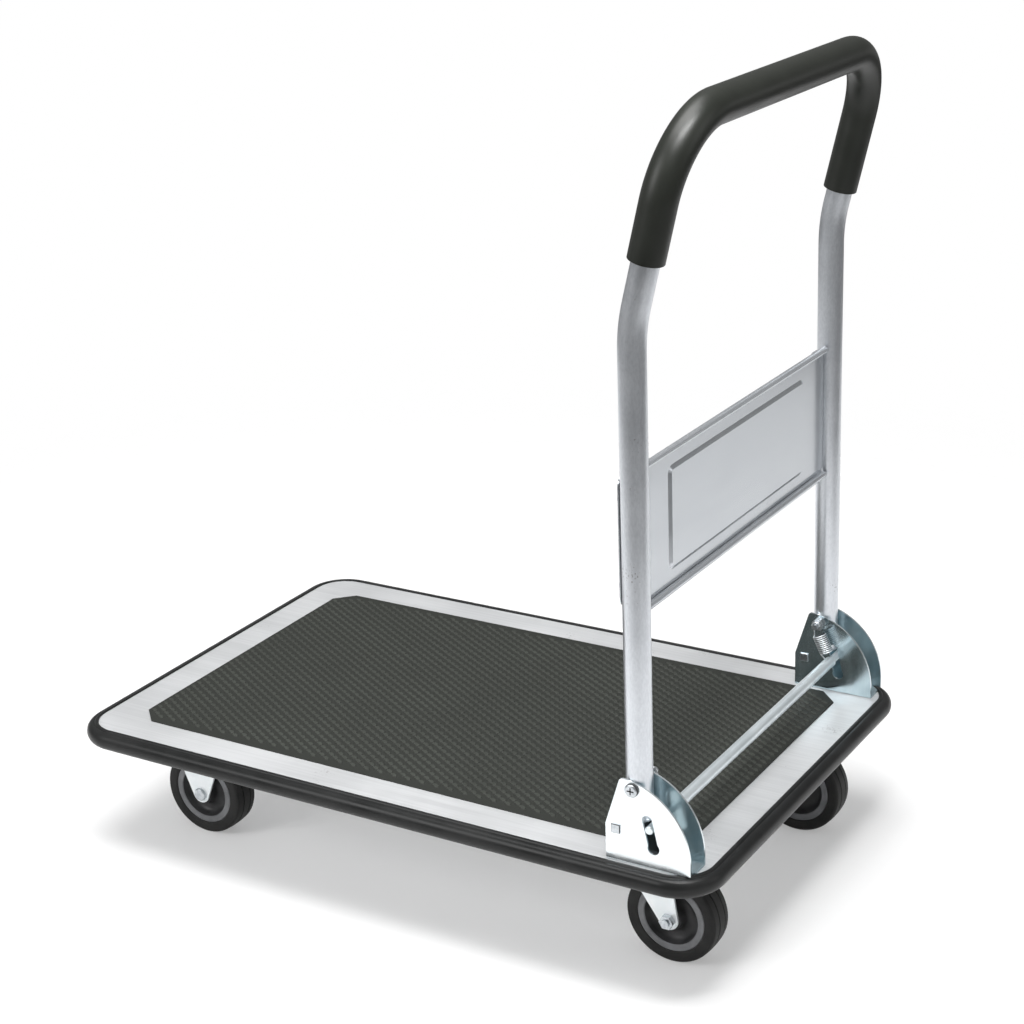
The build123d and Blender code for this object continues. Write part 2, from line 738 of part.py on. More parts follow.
def make_wheel(place, x, y):
    """A solid rubber tyre on a dished plastic core with a steel bush."""
    wheel_plane = Plane((x, y, wheel_radius), x_dir=(0, 1, 0), z_dir=(1, 0, 0))
    wheel_axis = Axis((x, y, wheel_radius), (0, 1, 0))
    half_width = wheel_width / 2
    tyre_bore = rim_radius + seat_clearance
    with BuildPart() as tyre:
        with BuildSketch(wheel_plane) as tyre_section:
            with Locations((0, (wheel_radius + tyre_bore) / 2)):
                Rectangle(wheel_width, wheel_radius - tyre_bore)
            fillet(tyre_section.vertices().group_by(Axis.Y)[-1], tyre_shoulder)
            with Locations((-tyre_groove_pitch / 2, wheel_radius), (tyre_groove_pitch / 2, wheel_radius)):
                Rectangle(tyre_groove_width, 2 * tyre_groove_depth, mode=Mode.SUBTRACT)
        revolve(axis=wheel_axis)
    keep(tyre, f"{place}_tyre")
    with BuildPart() as core:
        with BuildSketch(wheel_plane):
            rim_inner = rim_radius - rim_wall
            with Locations((0, rim_radius - rim_wall / 2)):
                Rectangle(2 * (half_width - rim_inset), rim_wall)
            with Locations((0, (hub_radius + rim_inner) / 2)):
                Rectangle(core_web, rim_inner - hub_radius)
            with Locations((0, (hub_radius + hub_bush_radius + seat_clearance) / 2)):
                Rectangle(hub_length, hub_radius - hub_bush_radius - seat_clearance)
        revolve(axis=wheel_axis)
    keep(core, f"{place}_wheel_core")
    with BuildPart() as hub_bush:
        with BuildSketch(wheel_plane):
            with Locations((0, (hub_bush_radius + axle_radius + running_clearance) / 2)):
                Rectangle(hub_length, hub_bush_radius - axle_radius - running_clearance)
        revolve(axis=wheel_axis)
    keep(hub_bush, f"{place}_hub_bush")


# Rigid casters at the front: plate and legs in one pressing, with a riveted axle.
for side_name, side in SIDES.items():
    with BuildPart() as rigid_fork:
        with BuildSketch(Plane.XY.offset(plate_underside)):
            mounting_plate(front_caster_x, side * caster_y)
        extrude(amount=plate_sheet)
        for leg in (-1, 1):
            with BuildSketch(facing_side(side * caster_y + leg * (fork_gap + fork_sheet) / 2)):
                leg_face(
                    front_caster_x,
                    front_caster_x - rigid_leg_top / 2,
                    front_caster_x + rigid_leg_top / 2,
                    plate_underside,
                )
            extrude(amount=fork_sheet / 2, both=True)
    keep(rigid_fork, f"front_{side_name}_rigid_fork")

    with BuildPart() as rigid_axle:
        with BuildSketch(facing_side(side * caster_y)):
            with Locations((front_caster_x, wheel_radius)):
                Circle(axle_radius)
        extrude(amount=fork_width / 2 + axle_head_height, both=True)
        for leg in (-1, 1):
            with BuildSketch(facing_side(side * caster_y + leg * (fork_width + axle_head_height) / 2)):
                with Locations((front_caster_x, wheel_radius)):
                    Circle(axle_head_radius)
            extrude(amount=axle_head_height / 2, both=True)
        fillet(rigid_axle.faces().sort_by(Axis.Y)[0].edges(), axle_head_height / 2)
        fillet(rigid_axle.faces().sort_by(Axis.Y)[-1].edges(), axle_head_height / 2)
    keep(rigid_axle, f"front_{side_name}_axle")
    make_wheel(f"front_{side_name}", front_caster_x, side * caster_y)

# Swivel casters at the handle end: a plate, a ring of balls, a fork on a riveted kingpin, and
# a bolted axle that trails behind it.
rear_axle_x = swivel_x + swivel_trail
for side_name, side in SIDES.items():
    place = f"rear_{side_name}"
    with BuildPart() as swivel_plate:
        with BuildSketch(Plane.XY.offset(plate_underside)):
            mounting_plate(swivel_x, side * caster_y)
            with Locations((swivel_x, side * caster_y)):
                Circle(kingpin_radius + seat_clearance, mode=Mode.SUBTRACT)
        extrude(amount=plate_sheet)
    keep(swivel_plate, f"{place}_swivel_plate")

    with BuildPart() as kingpin:
        with BuildSketch(Plane.XY.offset(plate_top)):
            with Locations((swivel_x, side * caster_y)):
                Circle(kingpin_head_radius)
        extrude(amount=kingpin_head_height)
        with BuildSketch(Plane.XY.offset(crown_underside - race_play)):
            with Locations((swivel_x, side * caster_y)):
                Circle(kingpin_radius)
        extrude(amount=plate_top - crown_underside + race_play)
        with BuildSketch(Plane.XY.offset(crown_underside - race_play)):
            with Locations((swivel_x, side * caster_y)):
                Circle(kingpin_collar_radius)
        extrude(amount=-kingpin_collar_height)
        fillet(kingpin.faces().sort_by(Axis.Z)[0].edges(), kingpin_collar_height / 2)
    keep(kingpin, f"{place}_kingpin")

    with BuildPart() as swivel_balls:
        with Locations((swivel_x, side * caster_y, crown_top + race_gap / 2)):
            with PolarLocations(race_radius, race_ball_count):
                Sphere(race_ball / 2)
    keep(swivel_balls, f"{place}_swivel_balls")

    with BuildPart() as swivel_fork:
        with BuildSketch(Plane.XY.offset(crown_underside)):
            with Locations((swivel_x, side * caster_y)):
                Circle(crown_radius)
                Rectangle(2 * crown_radius, fork_width)
                Circle(kingpin_radius + running_clearance, mode=Mode.SUBTRACT)
        extrude(amount=fork_sheet)
        for leg in (-1, 1):
            with BuildSketch(facing_side(side * caster_y + leg * (fork_gap + fork_sheet) / 2)):
                leg_face(rear_axle_x, swivel_x - crown_radius, swivel_x + crown_radius, crown_underside)
            extrude(amount=fork_sheet / 2, both=True)
    keep(swivel_fork, f"{place}_swivel_fork")

    # The bolt's head is on the inner leg, its nut on the outer one.
    outer_leg = side * (caster_y + fork_width / 2)
    inner_leg = side * (caster_y - fork_width / 2)
    with BuildPart() as axle_bolt:
        with BuildSketch(facing_side(inner_leg - side * axle_head_height / 2)):
            with Locations((rear_axle_x, wheel_radius)):
                RegularPolygon(axle_nut_flats / 2, 6, major_radius=False)
        extrude(amount=axle_head_height / 2, both=True)
        bolt_end = outer_leg + side * (axle_nut_height + axle_thread_end)
        with BuildSketch(facing_side((inner_leg + bolt_end) / 2)):
            with Locations((rear_axle_x, wheel_radius)):
                Circle(axle_radius)
        extrude(amount=abs(bolt_end - inner_leg) / 2, both=True)
    keep(axle_bolt, f"{place}_axle_bolt")

    with BuildPart() as axle_nut:
        with BuildSketch(facing_side(outer_leg + side * axle_nut_height / 2)):
            with Locations((rear_axle_x, wheel_radius)):
                RegularPolygon(axle_nut_flats / 2, 6, major_radius=False)
                Circle(axle_radius + seat_clearance, mode=Mode.SUBTRACT)
        extrude(amount=axle_nut_height / 2, both=True)
    keep(axle_nut, f"{place}_axle_nut")
    make_wheel(place, rear_axle_x, side * caster_y)

# Caster bolts, four to each plate, with their nuts inside the cross channels.
caster_bolt_places = [
    (x + dx * plate_hole_length / 2, side * caster_y + dy * plate_hole_width / 2)
    for x in (front_caster_x, swivel_x)
    for side in SIDES.values()
    for dx in (-1, 1)
    for dy in (-1, 1)
]
caster_nut_seat = plate_top + channel_sheet
with BuildPart() as caster_bolts:
    with BuildSketch(Plane.XY.offset(plate_underside - caster_bolt_head)):
        with Locations(*caster_bolt_places):
            RegularPolygon(caster_bolt_flats / 2, 6, major_radius=False)
    extrude(amount=caster_bolt_head)
    with BuildSketch(Plane.XY.offset(plate_underside)):
        with Locations(*caster_bolt_places):
            Circle(caster_bolt_radius)
    extrude(amount=caster_nut_seat + caster_nut_height + caster_bolt_end - plate_underside)
keep(caster_bolts, "caster_bolts")

with BuildPart() as caster_nuts:
    with BuildSketch(Plane.XY.offset(caster_nut_seat)):
        with Locations(*caster_bolt_places):
            RegularPolygon(caster_bolt_flats / 2, 6, major_radius=False)
            Circle(caster_bolt_radius + seat_clearance, mode=Mode.SUBTRACT)
    extrude(amount=caster_nut_height)
keep(caster_nuts, "caster_nuts")
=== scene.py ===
import json
import math

import bmesh
import bpy
from mathutils import Matrix, Vector


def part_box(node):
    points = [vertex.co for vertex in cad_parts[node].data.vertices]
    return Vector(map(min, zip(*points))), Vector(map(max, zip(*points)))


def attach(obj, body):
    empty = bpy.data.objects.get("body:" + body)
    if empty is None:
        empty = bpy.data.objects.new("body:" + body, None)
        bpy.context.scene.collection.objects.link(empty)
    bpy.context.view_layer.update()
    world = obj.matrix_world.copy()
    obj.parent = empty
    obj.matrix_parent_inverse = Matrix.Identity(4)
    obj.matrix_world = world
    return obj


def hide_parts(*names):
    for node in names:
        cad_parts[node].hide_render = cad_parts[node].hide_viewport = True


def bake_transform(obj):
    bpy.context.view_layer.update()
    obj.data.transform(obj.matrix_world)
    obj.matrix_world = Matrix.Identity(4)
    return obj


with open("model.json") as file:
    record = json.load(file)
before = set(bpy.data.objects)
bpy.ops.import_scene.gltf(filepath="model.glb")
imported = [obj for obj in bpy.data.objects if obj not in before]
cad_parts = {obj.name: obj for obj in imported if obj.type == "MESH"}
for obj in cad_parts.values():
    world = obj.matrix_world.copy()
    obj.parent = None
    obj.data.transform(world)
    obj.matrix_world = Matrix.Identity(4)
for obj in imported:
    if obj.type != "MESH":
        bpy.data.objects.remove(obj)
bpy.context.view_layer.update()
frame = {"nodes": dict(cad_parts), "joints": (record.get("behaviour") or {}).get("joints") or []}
nodes = frame["nodes"]


# Deck: one galvanised sheet pressed into a shallow pan with a turned-down skirt. The zinc is
# pale and soft, with faint rolling streaks along the deck and a few grey rubs.
def put(tree, kind, inputs=None, **settings):
    """Adds a node with its settings and inputs, each a value or another node's output."""
    node = tree.nodes.new(kind)
    for name, value in settings.items():
        setattr(node, name, value)
    for name, value in (inputs or {}).items():
        if isinstance(value, bpy.types.NodeSocket):
            tree.links.new(value, node.inputs[name])
        else:
            node.inputs[name].default_value = value
    return node


def maths(tree, operation, *values, **settings):
    """The result of a sum on values or other nodes' outputs."""
    inputs = dict(enumerate(values))
    return put(tree, "ShaderNodeMath", inputs, operation=operation, **settings).outputs[0]


def vector_maths(tree, operation, *values):
    """A sum on vectors. Lengths, distances and dot products come out as the Value."""
    return put(tree, "ShaderNodeVectorMath", dict(enumerate(values)), operation=operation).outputs


def ranged(tree, value, low, high, to_low=0.0, to_high=1.0, smooth=False):
    """A value carried from one range to another, with soft ends if it is smooth."""
    inputs = {"Value": value, "From Min": low, "From Max": high, "To Min": to_low, "To Max": to_high}
    kind = "SMOOTHSTEP" if smooth else "LINEAR"
    return put(tree, "ShaderNodeMapRange", inputs, interpolation_type=kind).outputs[0]


def noise(tree, vector, scale, detail):
    inputs = {"Vector": vector, "Scale": scale, "Detail": detail}
    return put(tree, "ShaderNodeTexNoise", inputs).outputs["Fac"]


def mixed(tree, factor, first, second):
    """The first colour where the factor is 0 and the second where it is 1."""
    inputs = {0: factor, 6: first, 7: second}
    return put(tree, "ShaderNodeMix", inputs, data_type="RGBA").outputs[2]


def object_space(tree):
    return put(tree, "ShaderNodeTexCoord").outputs["Object"]


def new_group(name, kind, sockets):
    """A node group with named sockets, given as (in_out, name, type, default)."""
    group = bpy.data.node_groups.new(name, kind)
    for in_out, label, socket_type, default in sockets:
        socket = group.interface.new_socket(label, in_out=in_out, socket_type=socket_type)
        if default is not None:
            socket.default_value = default
    return group, put(group, "NodeGroupInput"), put(group, "NodeGroupOutput")


def zinc_skin_group():
    """Zinc on steel: a tint that drifts, fine streaks along the vector's X, and small dark rubs."""
    group, given, out = new_group("zinc_skin", "ShaderNodeTree", [
        ("INPUT", "Vector", "NodeSocketVector", None),
        ("INPUT", "Pale", "NodeSocketColor", (0.8, 0.8, 0.8, 1)),
        ("INPUT", "Deep", "NodeSocketColor", (0.6, 0.6, 0.6, 1)),
        ("INPUT", "Rubs", "NodeSocketColor", (0.2, 0.2, 0.2, 1)),
        ("INPUT", "Cloud Scale", "NodeSocketFloat", 14.0),
        ("INPUT", "Streak Scale", "NodeSocketVector", (6.0, 420.0, 420.0)),
        ("INPUT", "Speck Scale", "NodeSocketFloat", 170.0),
        ("INPUT", "Speck Level", "NodeSocketFloat", 0.74),
        ("INPUT", "Smooth", "NodeSocketFloat", 0.3),
        ("INPUT", "Rough", "NodeSocketFloat", 0.5),
        ("OUTPUT", "Color", "NodeSocketColor", None),
        ("OUTPUT", "Roughness", "NodeSocketFloat", None),
        ("OUTPUT", "Height", "NodeSocketFloat", None),
    ])
    g = given.outputs
    patch_scale = 23.0
    darkest, palest = 0.66, 1.34
    rub_start, rub_full = 0.5, 0.56
    cloud = noise(group, g["Vector"], g["Cloud Scale"], 3.0)
    streak = noise(group, vector_maths(group, "MULTIPLY", g["Vector"], g["Streak Scale"])[0], 1.0, 4.0)
    tone = maths(group, "ADD", cloud, streak)
    tint = mixed(group, ranged(group, tone, darkest, palest, smooth=True), g["Deep"], g["Pale"])
    speck = noise(group, g["Vector"], g["Speck Scale"], 2.0)
    patchy = maths(group, "ADD", speck, noise(group, g["Vector"], patch_scale, 1.0))
    over = maths(group, "SUBTRACT", patchy, g["Speck Level"])
    colour = mixed(group, ranged(group, over, rub_start, rub_full), tint, g["Rubs"])
    rough = ranged(group, tone, darkest, palest, g["Smooth"], g["Rough"], smooth=True)
    group.links.new(colour, out.inputs["Color"])
    group.links.new(rough, out.inputs["Roughness"])
    group.links.new(streak, out.inputs["Height"])
    return group


zinc_skin = zinc_skin_group()


def new_material(name):
    """An empty material with its shader and output."""
    material = bpy.data.materials.new(name)
    material.use_nodes = True
    tree = material.node_tree
    tree.nodes.clear()
    shader = put(tree, "ShaderNodeBsdfPrincipled")
    out = put(tree, "ShaderNodeOutputMaterial")
    tree.links.new(shader.outputs[0], out.inputs["Surface"])
    return material, tree, shader


def skinned(name, skin_group, bump, depth, space, values):
    """A material whose colour, roughness and fine relief come from a skin group."""
    material, tree, shader = new_material(name)
    skin = put(tree, "ShaderNodeGroup", node_tree=skin_group)
    tree.links.new(space(tree), skin.inputs["Vector"])
    for label, value in values.items():
        skin.inputs[label.replace("_", " ")].default_value = value
    tree.links.new(skin.outputs["Color"], shader.inputs["Base Color"])
    tree.links.new(skin.outputs["Roughness"], shader.inputs["Roughness"])
    relief = {"Strength": bump, "Distance": depth, "Height": skin.outputs["Height"]}
    tree.links.new(put(tree, "ShaderNodeBump", relief).outputs[0], shader.inputs["Normal"])
    return material, shader


def zinc_material(name, metallic, bump, space=object_space, **values):
    """A steel piece with its zinc skin."""
    streak_depth = 0.0004
    material, shader = skinned(name, zinc_skin, bump, streak_depth, space, values)
    shader.inputs["Metallic"].default_value = metallic
    return material


def link(name, data):
    piece = bpy.data.objects.new(name, data)
    bpy.context.scene.collection.objects.link(piece)
    return piece


def bake(piece):
    """Turns a piece's modifiers into plain mesh."""
    depsgraph = bpy.context.evaluated_depsgraph_get()
    mesh = bpy.data.meshes.new_from_object(piece.evaluated_get(depsgraph))
    name = piece.name
    bpy.data.objects.remove(piece)
    return link(name, mesh)


def eased(node, edge, material, body, smooth_angle=34.0):
    """A copy of a CAD node with its sharp edges eased, as pressing and plating leave them."""
    mesh = bpy.data.meshes.new(node)
    shape = bmesh.new()
    shape.from_mesh(nodes[node].data)
    weld, flat_angle, edge_angle = 2e-6, math.radians(0.6), math.radians(40)
    bmesh.ops.remove_doubles(shape, verts=shape.verts, dist=weld)
    bmesh.ops.dissolve_limit(shape, angle_limit=flat_angle, verts=shape.verts, edges=shape.edges)
    shape.to_mesh(mesh)
    shape.free()
    if mesh.has_custom_normals:
        mesh.attributes.remove(mesh.attributes["custom_normal"])
    piece = link(f"{node}_finished", mesh)
    if edge:
        bevel = piece.modifiers.new("edges", "BEVEL")
        bevel.width, bevel.segments = edge, 2
        bevel.limit_method, bevel.angle_limit = "ANGLE", edge_angle
        piece = bake(piece)
    piece.data.polygons.foreach_set("use_smooth", [True] * len(piece.data.polygons))
    piece.data.set_sharp_from_angle(angle=math.radians(smooth_angle))
    flats = piece.modifiers.new("flats", "WEIGHTED_NORMAL")
    flats.keep_sharp = True
    piece = bake(piece)
    piece.data.materials.clear()
    piece.data.materials.append(material)
    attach(piece, body)
    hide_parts(node)
    return piece


deck_zinc = zinc_material(
    "deck_zinc", 0.4, 0.03, Pale=(0.675, 0.685, 0.695, 1), Deep=(0.575, 0.585, 0.595, 1),
    Rubs=(0.44, 0.44, 0.45, 1), Cloud_Scale=9.0, Streak_Scale=(7.0, 330.0, 330.0),
    Speck_Scale=420.0, Speck_Level=0.84, Smooth=0.34, Rough=0.5)
deck = eased("deck", 0, deck_zinc, "chassis")

# Cross channels: open-topped galvanised pressings welded under the deck, one above each pair of
# casters. They only show from below.
channel_zinc = zinc_material(
    "channel_zinc", 0.6, 0.06, Pale=(0.66, 0.66, 0.66, 1), Deep=(0.5, 0.5, 0.51, 1),
    Rubs=(0.3, 0.3, 0.3, 1), Cloud_Scale=16.0, Streak_Scale=(300.0, 8.0, 300.0), Smooth=0.36,
    Rough=0.54)
channel_edge = 0.0004
for node in ("front_cross_channel", "rear_cross_channel"):
    eased(node, channel_edge, channel_zinc, "chassis")


# Anti-slip mat: a sheet of dark rubber glued to the deck, its corners cut off, moulded all over
# with low, long six-sided studs that lie in slanting rows. The sheet between the studs is painted
# darker than their tops, as painted shade.
def rubber_skin_group():
    """Moulded rubber or soft plastic: fine grain, a dusty drift of tone, and pale scuffs."""
    group, given, out = new_group("rubber_skin", "ShaderNodeTree", [
        ("INPUT", "Vector", "NodeSocketVector", None),
        ("INPUT", "Black", "NodeSocketColor", (0.02, 0.02, 0.02, 1)),
        ("INPUT", "Dusty", "NodeSocketColor", (0.05, 0.05, 0.05, 1)),
        ("INPUT", "Dust Scale", "NodeSocketFloat", 18.0),
        ("INPUT", "Grain Scale", "NodeSocketFloat", 1600.0),
        ("INPUT", "Scuff Level", "NodeSocketFloat", 0.7),
        ("INPUT", "Smooth", "NodeSocketFloat", 0.4),
        ("INPUT", "Rough", "NodeSocketFloat", 0.6),
        ("OUTPUT", "Color", "NodeSocketColor", None),
        ("OUTPUT", "Roughness", "NodeSocketFloat", None),
        ("OUTPUT", "Height", "NodeSocketFloat", None),
    ])
    g = given.outputs
    scuff_scale, scuff_edge = 260.0, 0.08
    cleanest, dustiest = 0.36, 0.64
    dust = noise(group, g["Vector"], g["Dust Scale"], 5.0)
    grain = noise(group, g["Vector"], g["Grain Scale"], 1.0)
    scuff = noise(group, g["Vector"], scuff_scale, 3.0)
    fleck = ranged(group, maths(group, "SUBTRACT", scuff, g["Scuff Level"]), 0.0, scuff_edge)
    drift = ranged(group, dust, cleanest, dustiest)
    colour = mixed(group, maths(group, "ADD", drift, fleck, use_clamp=True), g["Black"], g["Dusty"])
    rough = ranged(group, drift, 0.0, 1.0, g["Smooth"], g["Rough"])
    group.links.new(colour, out.inputs["Color"])
    group.links.new(rough, out.inputs["Roughness"])
    group.links.new(grain, out.inputs["Height"])
    return group


rubber_skin = rubber_skin_group()


def rubber_material(name, bump, specular, **values):
    """A rubber or soft plastic piece."""
    grain_depth = 0.0002
    material, shader = skinned(name, rubber_skin, bump, grain_depth, object_space, values)
    shader.inputs["Specular IOR Level"].default_value = specular
    return material


def paint_shade(material, shade_colour, unshaded):
    """Paints shade: a darker colour shows in place of a finish where the unshaded factor is low."""
    tree = material.node_tree
    shader = next(node for node in tree.nodes if node.type == "BSDF_PRINCIPLED")
    finish = shader.inputs["Base Color"].links[0].from_socket
    tree.links.new(mixed(tree, unshaded, shade_colour, finish), shader.inputs["Base Color"])


mat_rubber = rubber_material(
    "mat_rubber", 0.25, 0.2, Black=(0.041, 0.044, 0.0385, 1), Dusty=(0.048, 0.052, 0.0455, 1),
    Dust_Scale=11.0, Grain_Scale=2400.0, Scuff_Level=0.74, Smooth=0.5, Rough=0.62)
mat_low, mat_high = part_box("anti_slip_mat")
mat_chamfer = 0.020
edge_drop, edge_inset = 0.0003, 0.0004
stud_height, stud_row, stud_flats, stud_taper = 0.0008, 0.0082, 0.0072, 0.72
stud_stretch, stud_turn = (1.38, 0.7, 1.0), math.radians(-30)
hexagon = math.cos(math.radians(30))
sheet_top = mat_high.z - stud_height
tree = mat_rubber.node_tree
# Painted shade: the sheet between the studs takes a darker colour than the stud tops.
level = put(tree, "ShaderNodeSeparateXYZ", {0: object_space(tree)}).outputs[2]
paint_shade(mat_rubber, (0.026, 0.028, 0.0245, 1), ranged(tree, level, sheet_top, mat_high.z))
half_x, half_y = mat_high.x, mat_high.y
slab = bmesh.new()
outline = []
for sx, sy in ((1, 1), (-1, 1), (-1, -1), (1, -1)):
    ends = [Vector((sx * half_x, sy * (half_y - mat_chamfer), 0)),
            Vector((sx * (half_x - mat_chamfer), sy * half_y, 0))]
    outline += ends if sx * sy > 0 else ends[::-1]
rings = [[slab.verts.new((p.x - math.copysign(inset, p.x), p.y - math.copysign(inset, p.y), z))
          for p in outline]
         for z, inset in ((mat_low.z, 0.0), (sheet_top - edge_drop, 0.0), (sheet_top, edge_inset))]
for lower, upper in zip(rings, rings[1:]):
    for i in range(len(outline)):
        j = (i + 1) % len(outline)
        slab.faces.new((lower[i], lower[j], upper[j], upper[i]))
slab.faces.new(rings[-1])
slab.faces.new(rings[0][::-1])
slab_mesh = bpy.data.meshes.new("mat")
slab.to_mesh(slab_mesh)
slab.free()
mat = link("anti_slip_mat_studded", slab_mesh)


def stud_tree():
    """Long six-sided studs in slanting rows, kept inside the mat's cut-cornered outline."""
    tree, given, out = new_group("mat_studs", "GeometryNodeTree", [
        ("INPUT", "Geometry", "NodeSocketGeometry", None),
        ("OUTPUT", "Geometry", "NodeSocketGeometry", None),
        ("INPUT", "Length", "NodeSocketFloat", 0.6),
        ("INPUT", "Width", "NodeSocketFloat", 0.4),
        ("INPUT", "Row", "NodeSocketFloat", 0.008),
        ("INPUT", "Columns", "NodeSocketInt", 70),
        ("INPUT", "Ranks", "NodeSocketInt", 40),
        ("INPUT", "Flats", "NodeSocketFloat", 0.007),
        ("INPUT", "Taper", "NodeSocketFloat", 0.7),
        ("INPUT", "Height", "NodeSocketFloat", 0.001),
        ("INPUT", "Stretch", "NodeSocketVector", (1.0, 1.0, 1.0)),
        ("INPUT", "Seat", "NodeSocketFloat", 0.13),
        ("INPUT", "Cut Sum", "NodeSocketFloat", 0.5),
        ("INPUT", "Material", "NodeSocketMaterial", None),
    ])
    g = given.outputs

    def sum_of(operation, *values):
        return maths(tree, operation, *values)

    pitch = sum_of("DIVIDE", g["Row"], hexagon)
    grid = put(tree, "GeometryNodeMeshGrid", {
        "Size X": sum_of("MULTIPLY", sum_of("SUBTRACT", g["Columns"], 1.0), g["Row"]),
        "Size Y": sum_of("MULTIPLY", sum_of("SUBTRACT", g["Ranks"], 1.0), pitch),
        "Vertices X": g["Columns"], "Vertices Y": g["Ranks"]})
    index = put(tree, "GeometryNodeInputIndex").outputs[0]
    column = sum_of("FLOOR", sum_of("DIVIDE", index, g["Ranks"]))
    odd = sum_of("SUBTRACT", sum_of("MODULO", column, 2.0), 0.5)
    step = sum_of("MULTIPLY", odd, sum_of("MULTIPLY", pitch, 0.5))
    shift = put(tree, "ShaderNodeCombineXYZ", {1: step, 2: g["Seat"]}).outputs[0]
    moved = put(tree, "GeometryNodeSetPosition", {"Geometry": grid.outputs["Mesh"], "Offset": shift})
    position = put(tree, "GeometryNodeInputPosition").outputs[0]
    place = put(tree, "ShaderNodeSeparateXYZ", {0: position})
    x, y = (sum_of("ABSOLUTE", place.outputs[axis]) for axis in (0, 1))
    end, side = (sum_of("SUBTRACT", sum_of("MULTIPLY", g[name], 0.5), g["Flats"])
                 for name in ("Length", "Width"))
    past_edge = sum_of("ADD", sum_of("GREATER_THAN", x, end), sum_of("GREATER_THAN", y, side))
    past_cut = sum_of("GREATER_THAN", sum_of("ADD", x, y), g["Cut Sum"])
    outside = {"Geometry": moved.outputs[0], "Selection": sum_of("ADD", past_edge, past_cut)}
    kept = put(tree, "GeometryNodeDeleteGeometry", outside, domain="POINT")
    radius = sum_of("DIVIDE", g["Flats"], 2 * hexagon)
    stud = put(tree, "GeometryNodeMeshCone", {
        "Vertices": 6, "Radius Top": sum_of("MULTIPLY", radius, g["Taper"]), "Radius Bottom": radius,
        "Depth": g["Height"]})
    slanted = put(tree, "GeometryNodeTransform", {
        "Geometry": stud.outputs["Mesh"], "Scale": g["Stretch"], "Rotation": (0, 0, stud_turn)})
    spread = put(tree, "GeometryNodeInstanceOnPoints", {
        "Points": kept.outputs[0], "Instance": slanted.outputs[0]})
    real = put(tree, "GeometryNodeRealizeInstances", {"Geometry": spread.outputs[0]})
    joined = put(tree, "GeometryNodeJoinGeometry")
    tree.links.new(g["Geometry"], joined.inputs[0])
    tree.links.new(real.outputs[0], joined.inputs[0])
    finish = put(tree, "GeometryNodeSetMaterial", {
        "Geometry": joined.outputs[0], "Material": g["Material"]})
    tree.links.new(finish.outputs[0], out.inputs[0])
    return tree


def grow(piece, tree, **values):
    """Runs a node tree on a piece with the given inputs and bakes the result."""
    modifier = piece.modifiers.new(tree.name, "NODES")
    modifier.node_group = tree
    identifiers = {item.name: item.identifier for item in tree.interface.items_tree
                   if item.item_type == "SOCKET" and item.in_out == "INPUT"}
    for label, value in values.items():
        modifier[identifiers[label.replace("_", " ")]] = value
    piece = bake(piece)
    piece.data.materials.clear()
    piece.data.materials.append(values["Material"])
    return piece


mat = grow(
    mat, stud_tree(), Length=2 * half_x, Width=2 * half_y, Row=stud_row,
    Columns=int(2 * half_x / stud_row) + 2, Ranks=int(2 * half_y / (stud_row / hexagon)) + 2,
    Flats=stud_flats, Taper=stud_taper, Height=stud_height, Stretch=stud_stretch, Seat=sheet_top,
    Cut_Sum=half_x + half_y - mat_chamfer - stud_flats, Material=mat_rubber)
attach(mat, "chassis")
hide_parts("anti_slip_mat")


# Bumper: a soft black extrusion pressed round the deck's edge, with a bead over the sheet, a fine
# groove and a half-round nose. It is drawn from its section along the deck's outline.
def curve_object(name, places, radii=None, closed=False):
    """A poly curve through points in metres."""
    data = bpy.data.curves.new(name, "CURVE")
    data.dimensions = "3D"
    spline = data.splines.new("POLY")
    spline.points.add(len(places) - 1)
    for i, (point, place) in enumerate(zip(spline.points, places)):
        point.co = (*place, 1.0)
        point.radius = radii[i] if radii else 1.0
    spline.use_cyclic_u = closed
    return link(name, data)


def section_tree():
    """Draws a section along a path, and keeps the length along it and the place round it."""
    tree, given, out = new_group("drawn_section", "GeometryNodeTree", [
        ("INPUT", "Geometry", "NodeSocketGeometry", None),
        ("OUTPUT", "Geometry", "NodeSocketGeometry", None),
        ("INPUT", "Section", "NodeSocketObject", None),
        ("INPUT", "Caps", "NodeSocketBool", True),
        ("INPUT", "Material", "NodeSocketMaterial", None),
    ])
    g = given.outputs

    def stored(geometry, name, value, data_type):
        inputs = {"Geometry": geometry, "Name": name, "Value": value}
        return put(tree, "GeometryNodeStoreNamedAttribute", inputs, data_type=data_type,
                   domain="POINT").outputs[0]

    length = put(tree, "GeometryNodeSplineParameter").outputs["Length"]
    section = put(tree, "GeometryNodeObjectInfo", {"Object": g["Section"]})
    here = put(tree, "GeometryNodeInputPosition").outputs[0]
    skin = put(tree, "GeometryNodeCurveToMesh", {
        "Curve": stored(g["Geometry"], "along", length, "FLOAT"),
        "Profile Curve": stored(section.outputs["Geometry"], "around", here, "FLOAT_VECTOR"),
        "Fill Caps": g["Caps"]})
    smooth = put(tree, "GeometryNodeSetShadeSmooth", {
        "Geometry": skin.outputs[0], "Shade Smooth": True})
    real = put(tree, "GeometryNodeRealizeInstances", {"Geometry": smooth.outputs[0]})
    finish = put(tree, "GeometryNodeSetMaterial", {
        "Geometry": real.outputs[0], "Material": g["Material"]})
    tree.links.new(finish.outputs[0], out.inputs[0])
    return tree


drawn_section = section_tree()


def draw(name, path, section, material, closed=False, radii=None, smooth_angle=40.0):
    """A piece drawn from a section along a path."""
    section_curve = curve_object(f"{name}_section", section, closed=True)
    piece = grow(curve_object(name, path, radii, closed), drawn_section, Section=section_curve,
                 Caps=not closed, Material=material)
    bpy.data.objects.remove(section_curve)
    shape = bmesh.new()
    shape.from_mesh(piece.data)
    bmesh.ops.recalc_face_normals(shape, faces=shape.faces)
    shape.to_mesh(piece.data)
    shape.free()
    piece.data.set_sharp_from_angle(angle=math.radians(smooth_angle))
    return piece


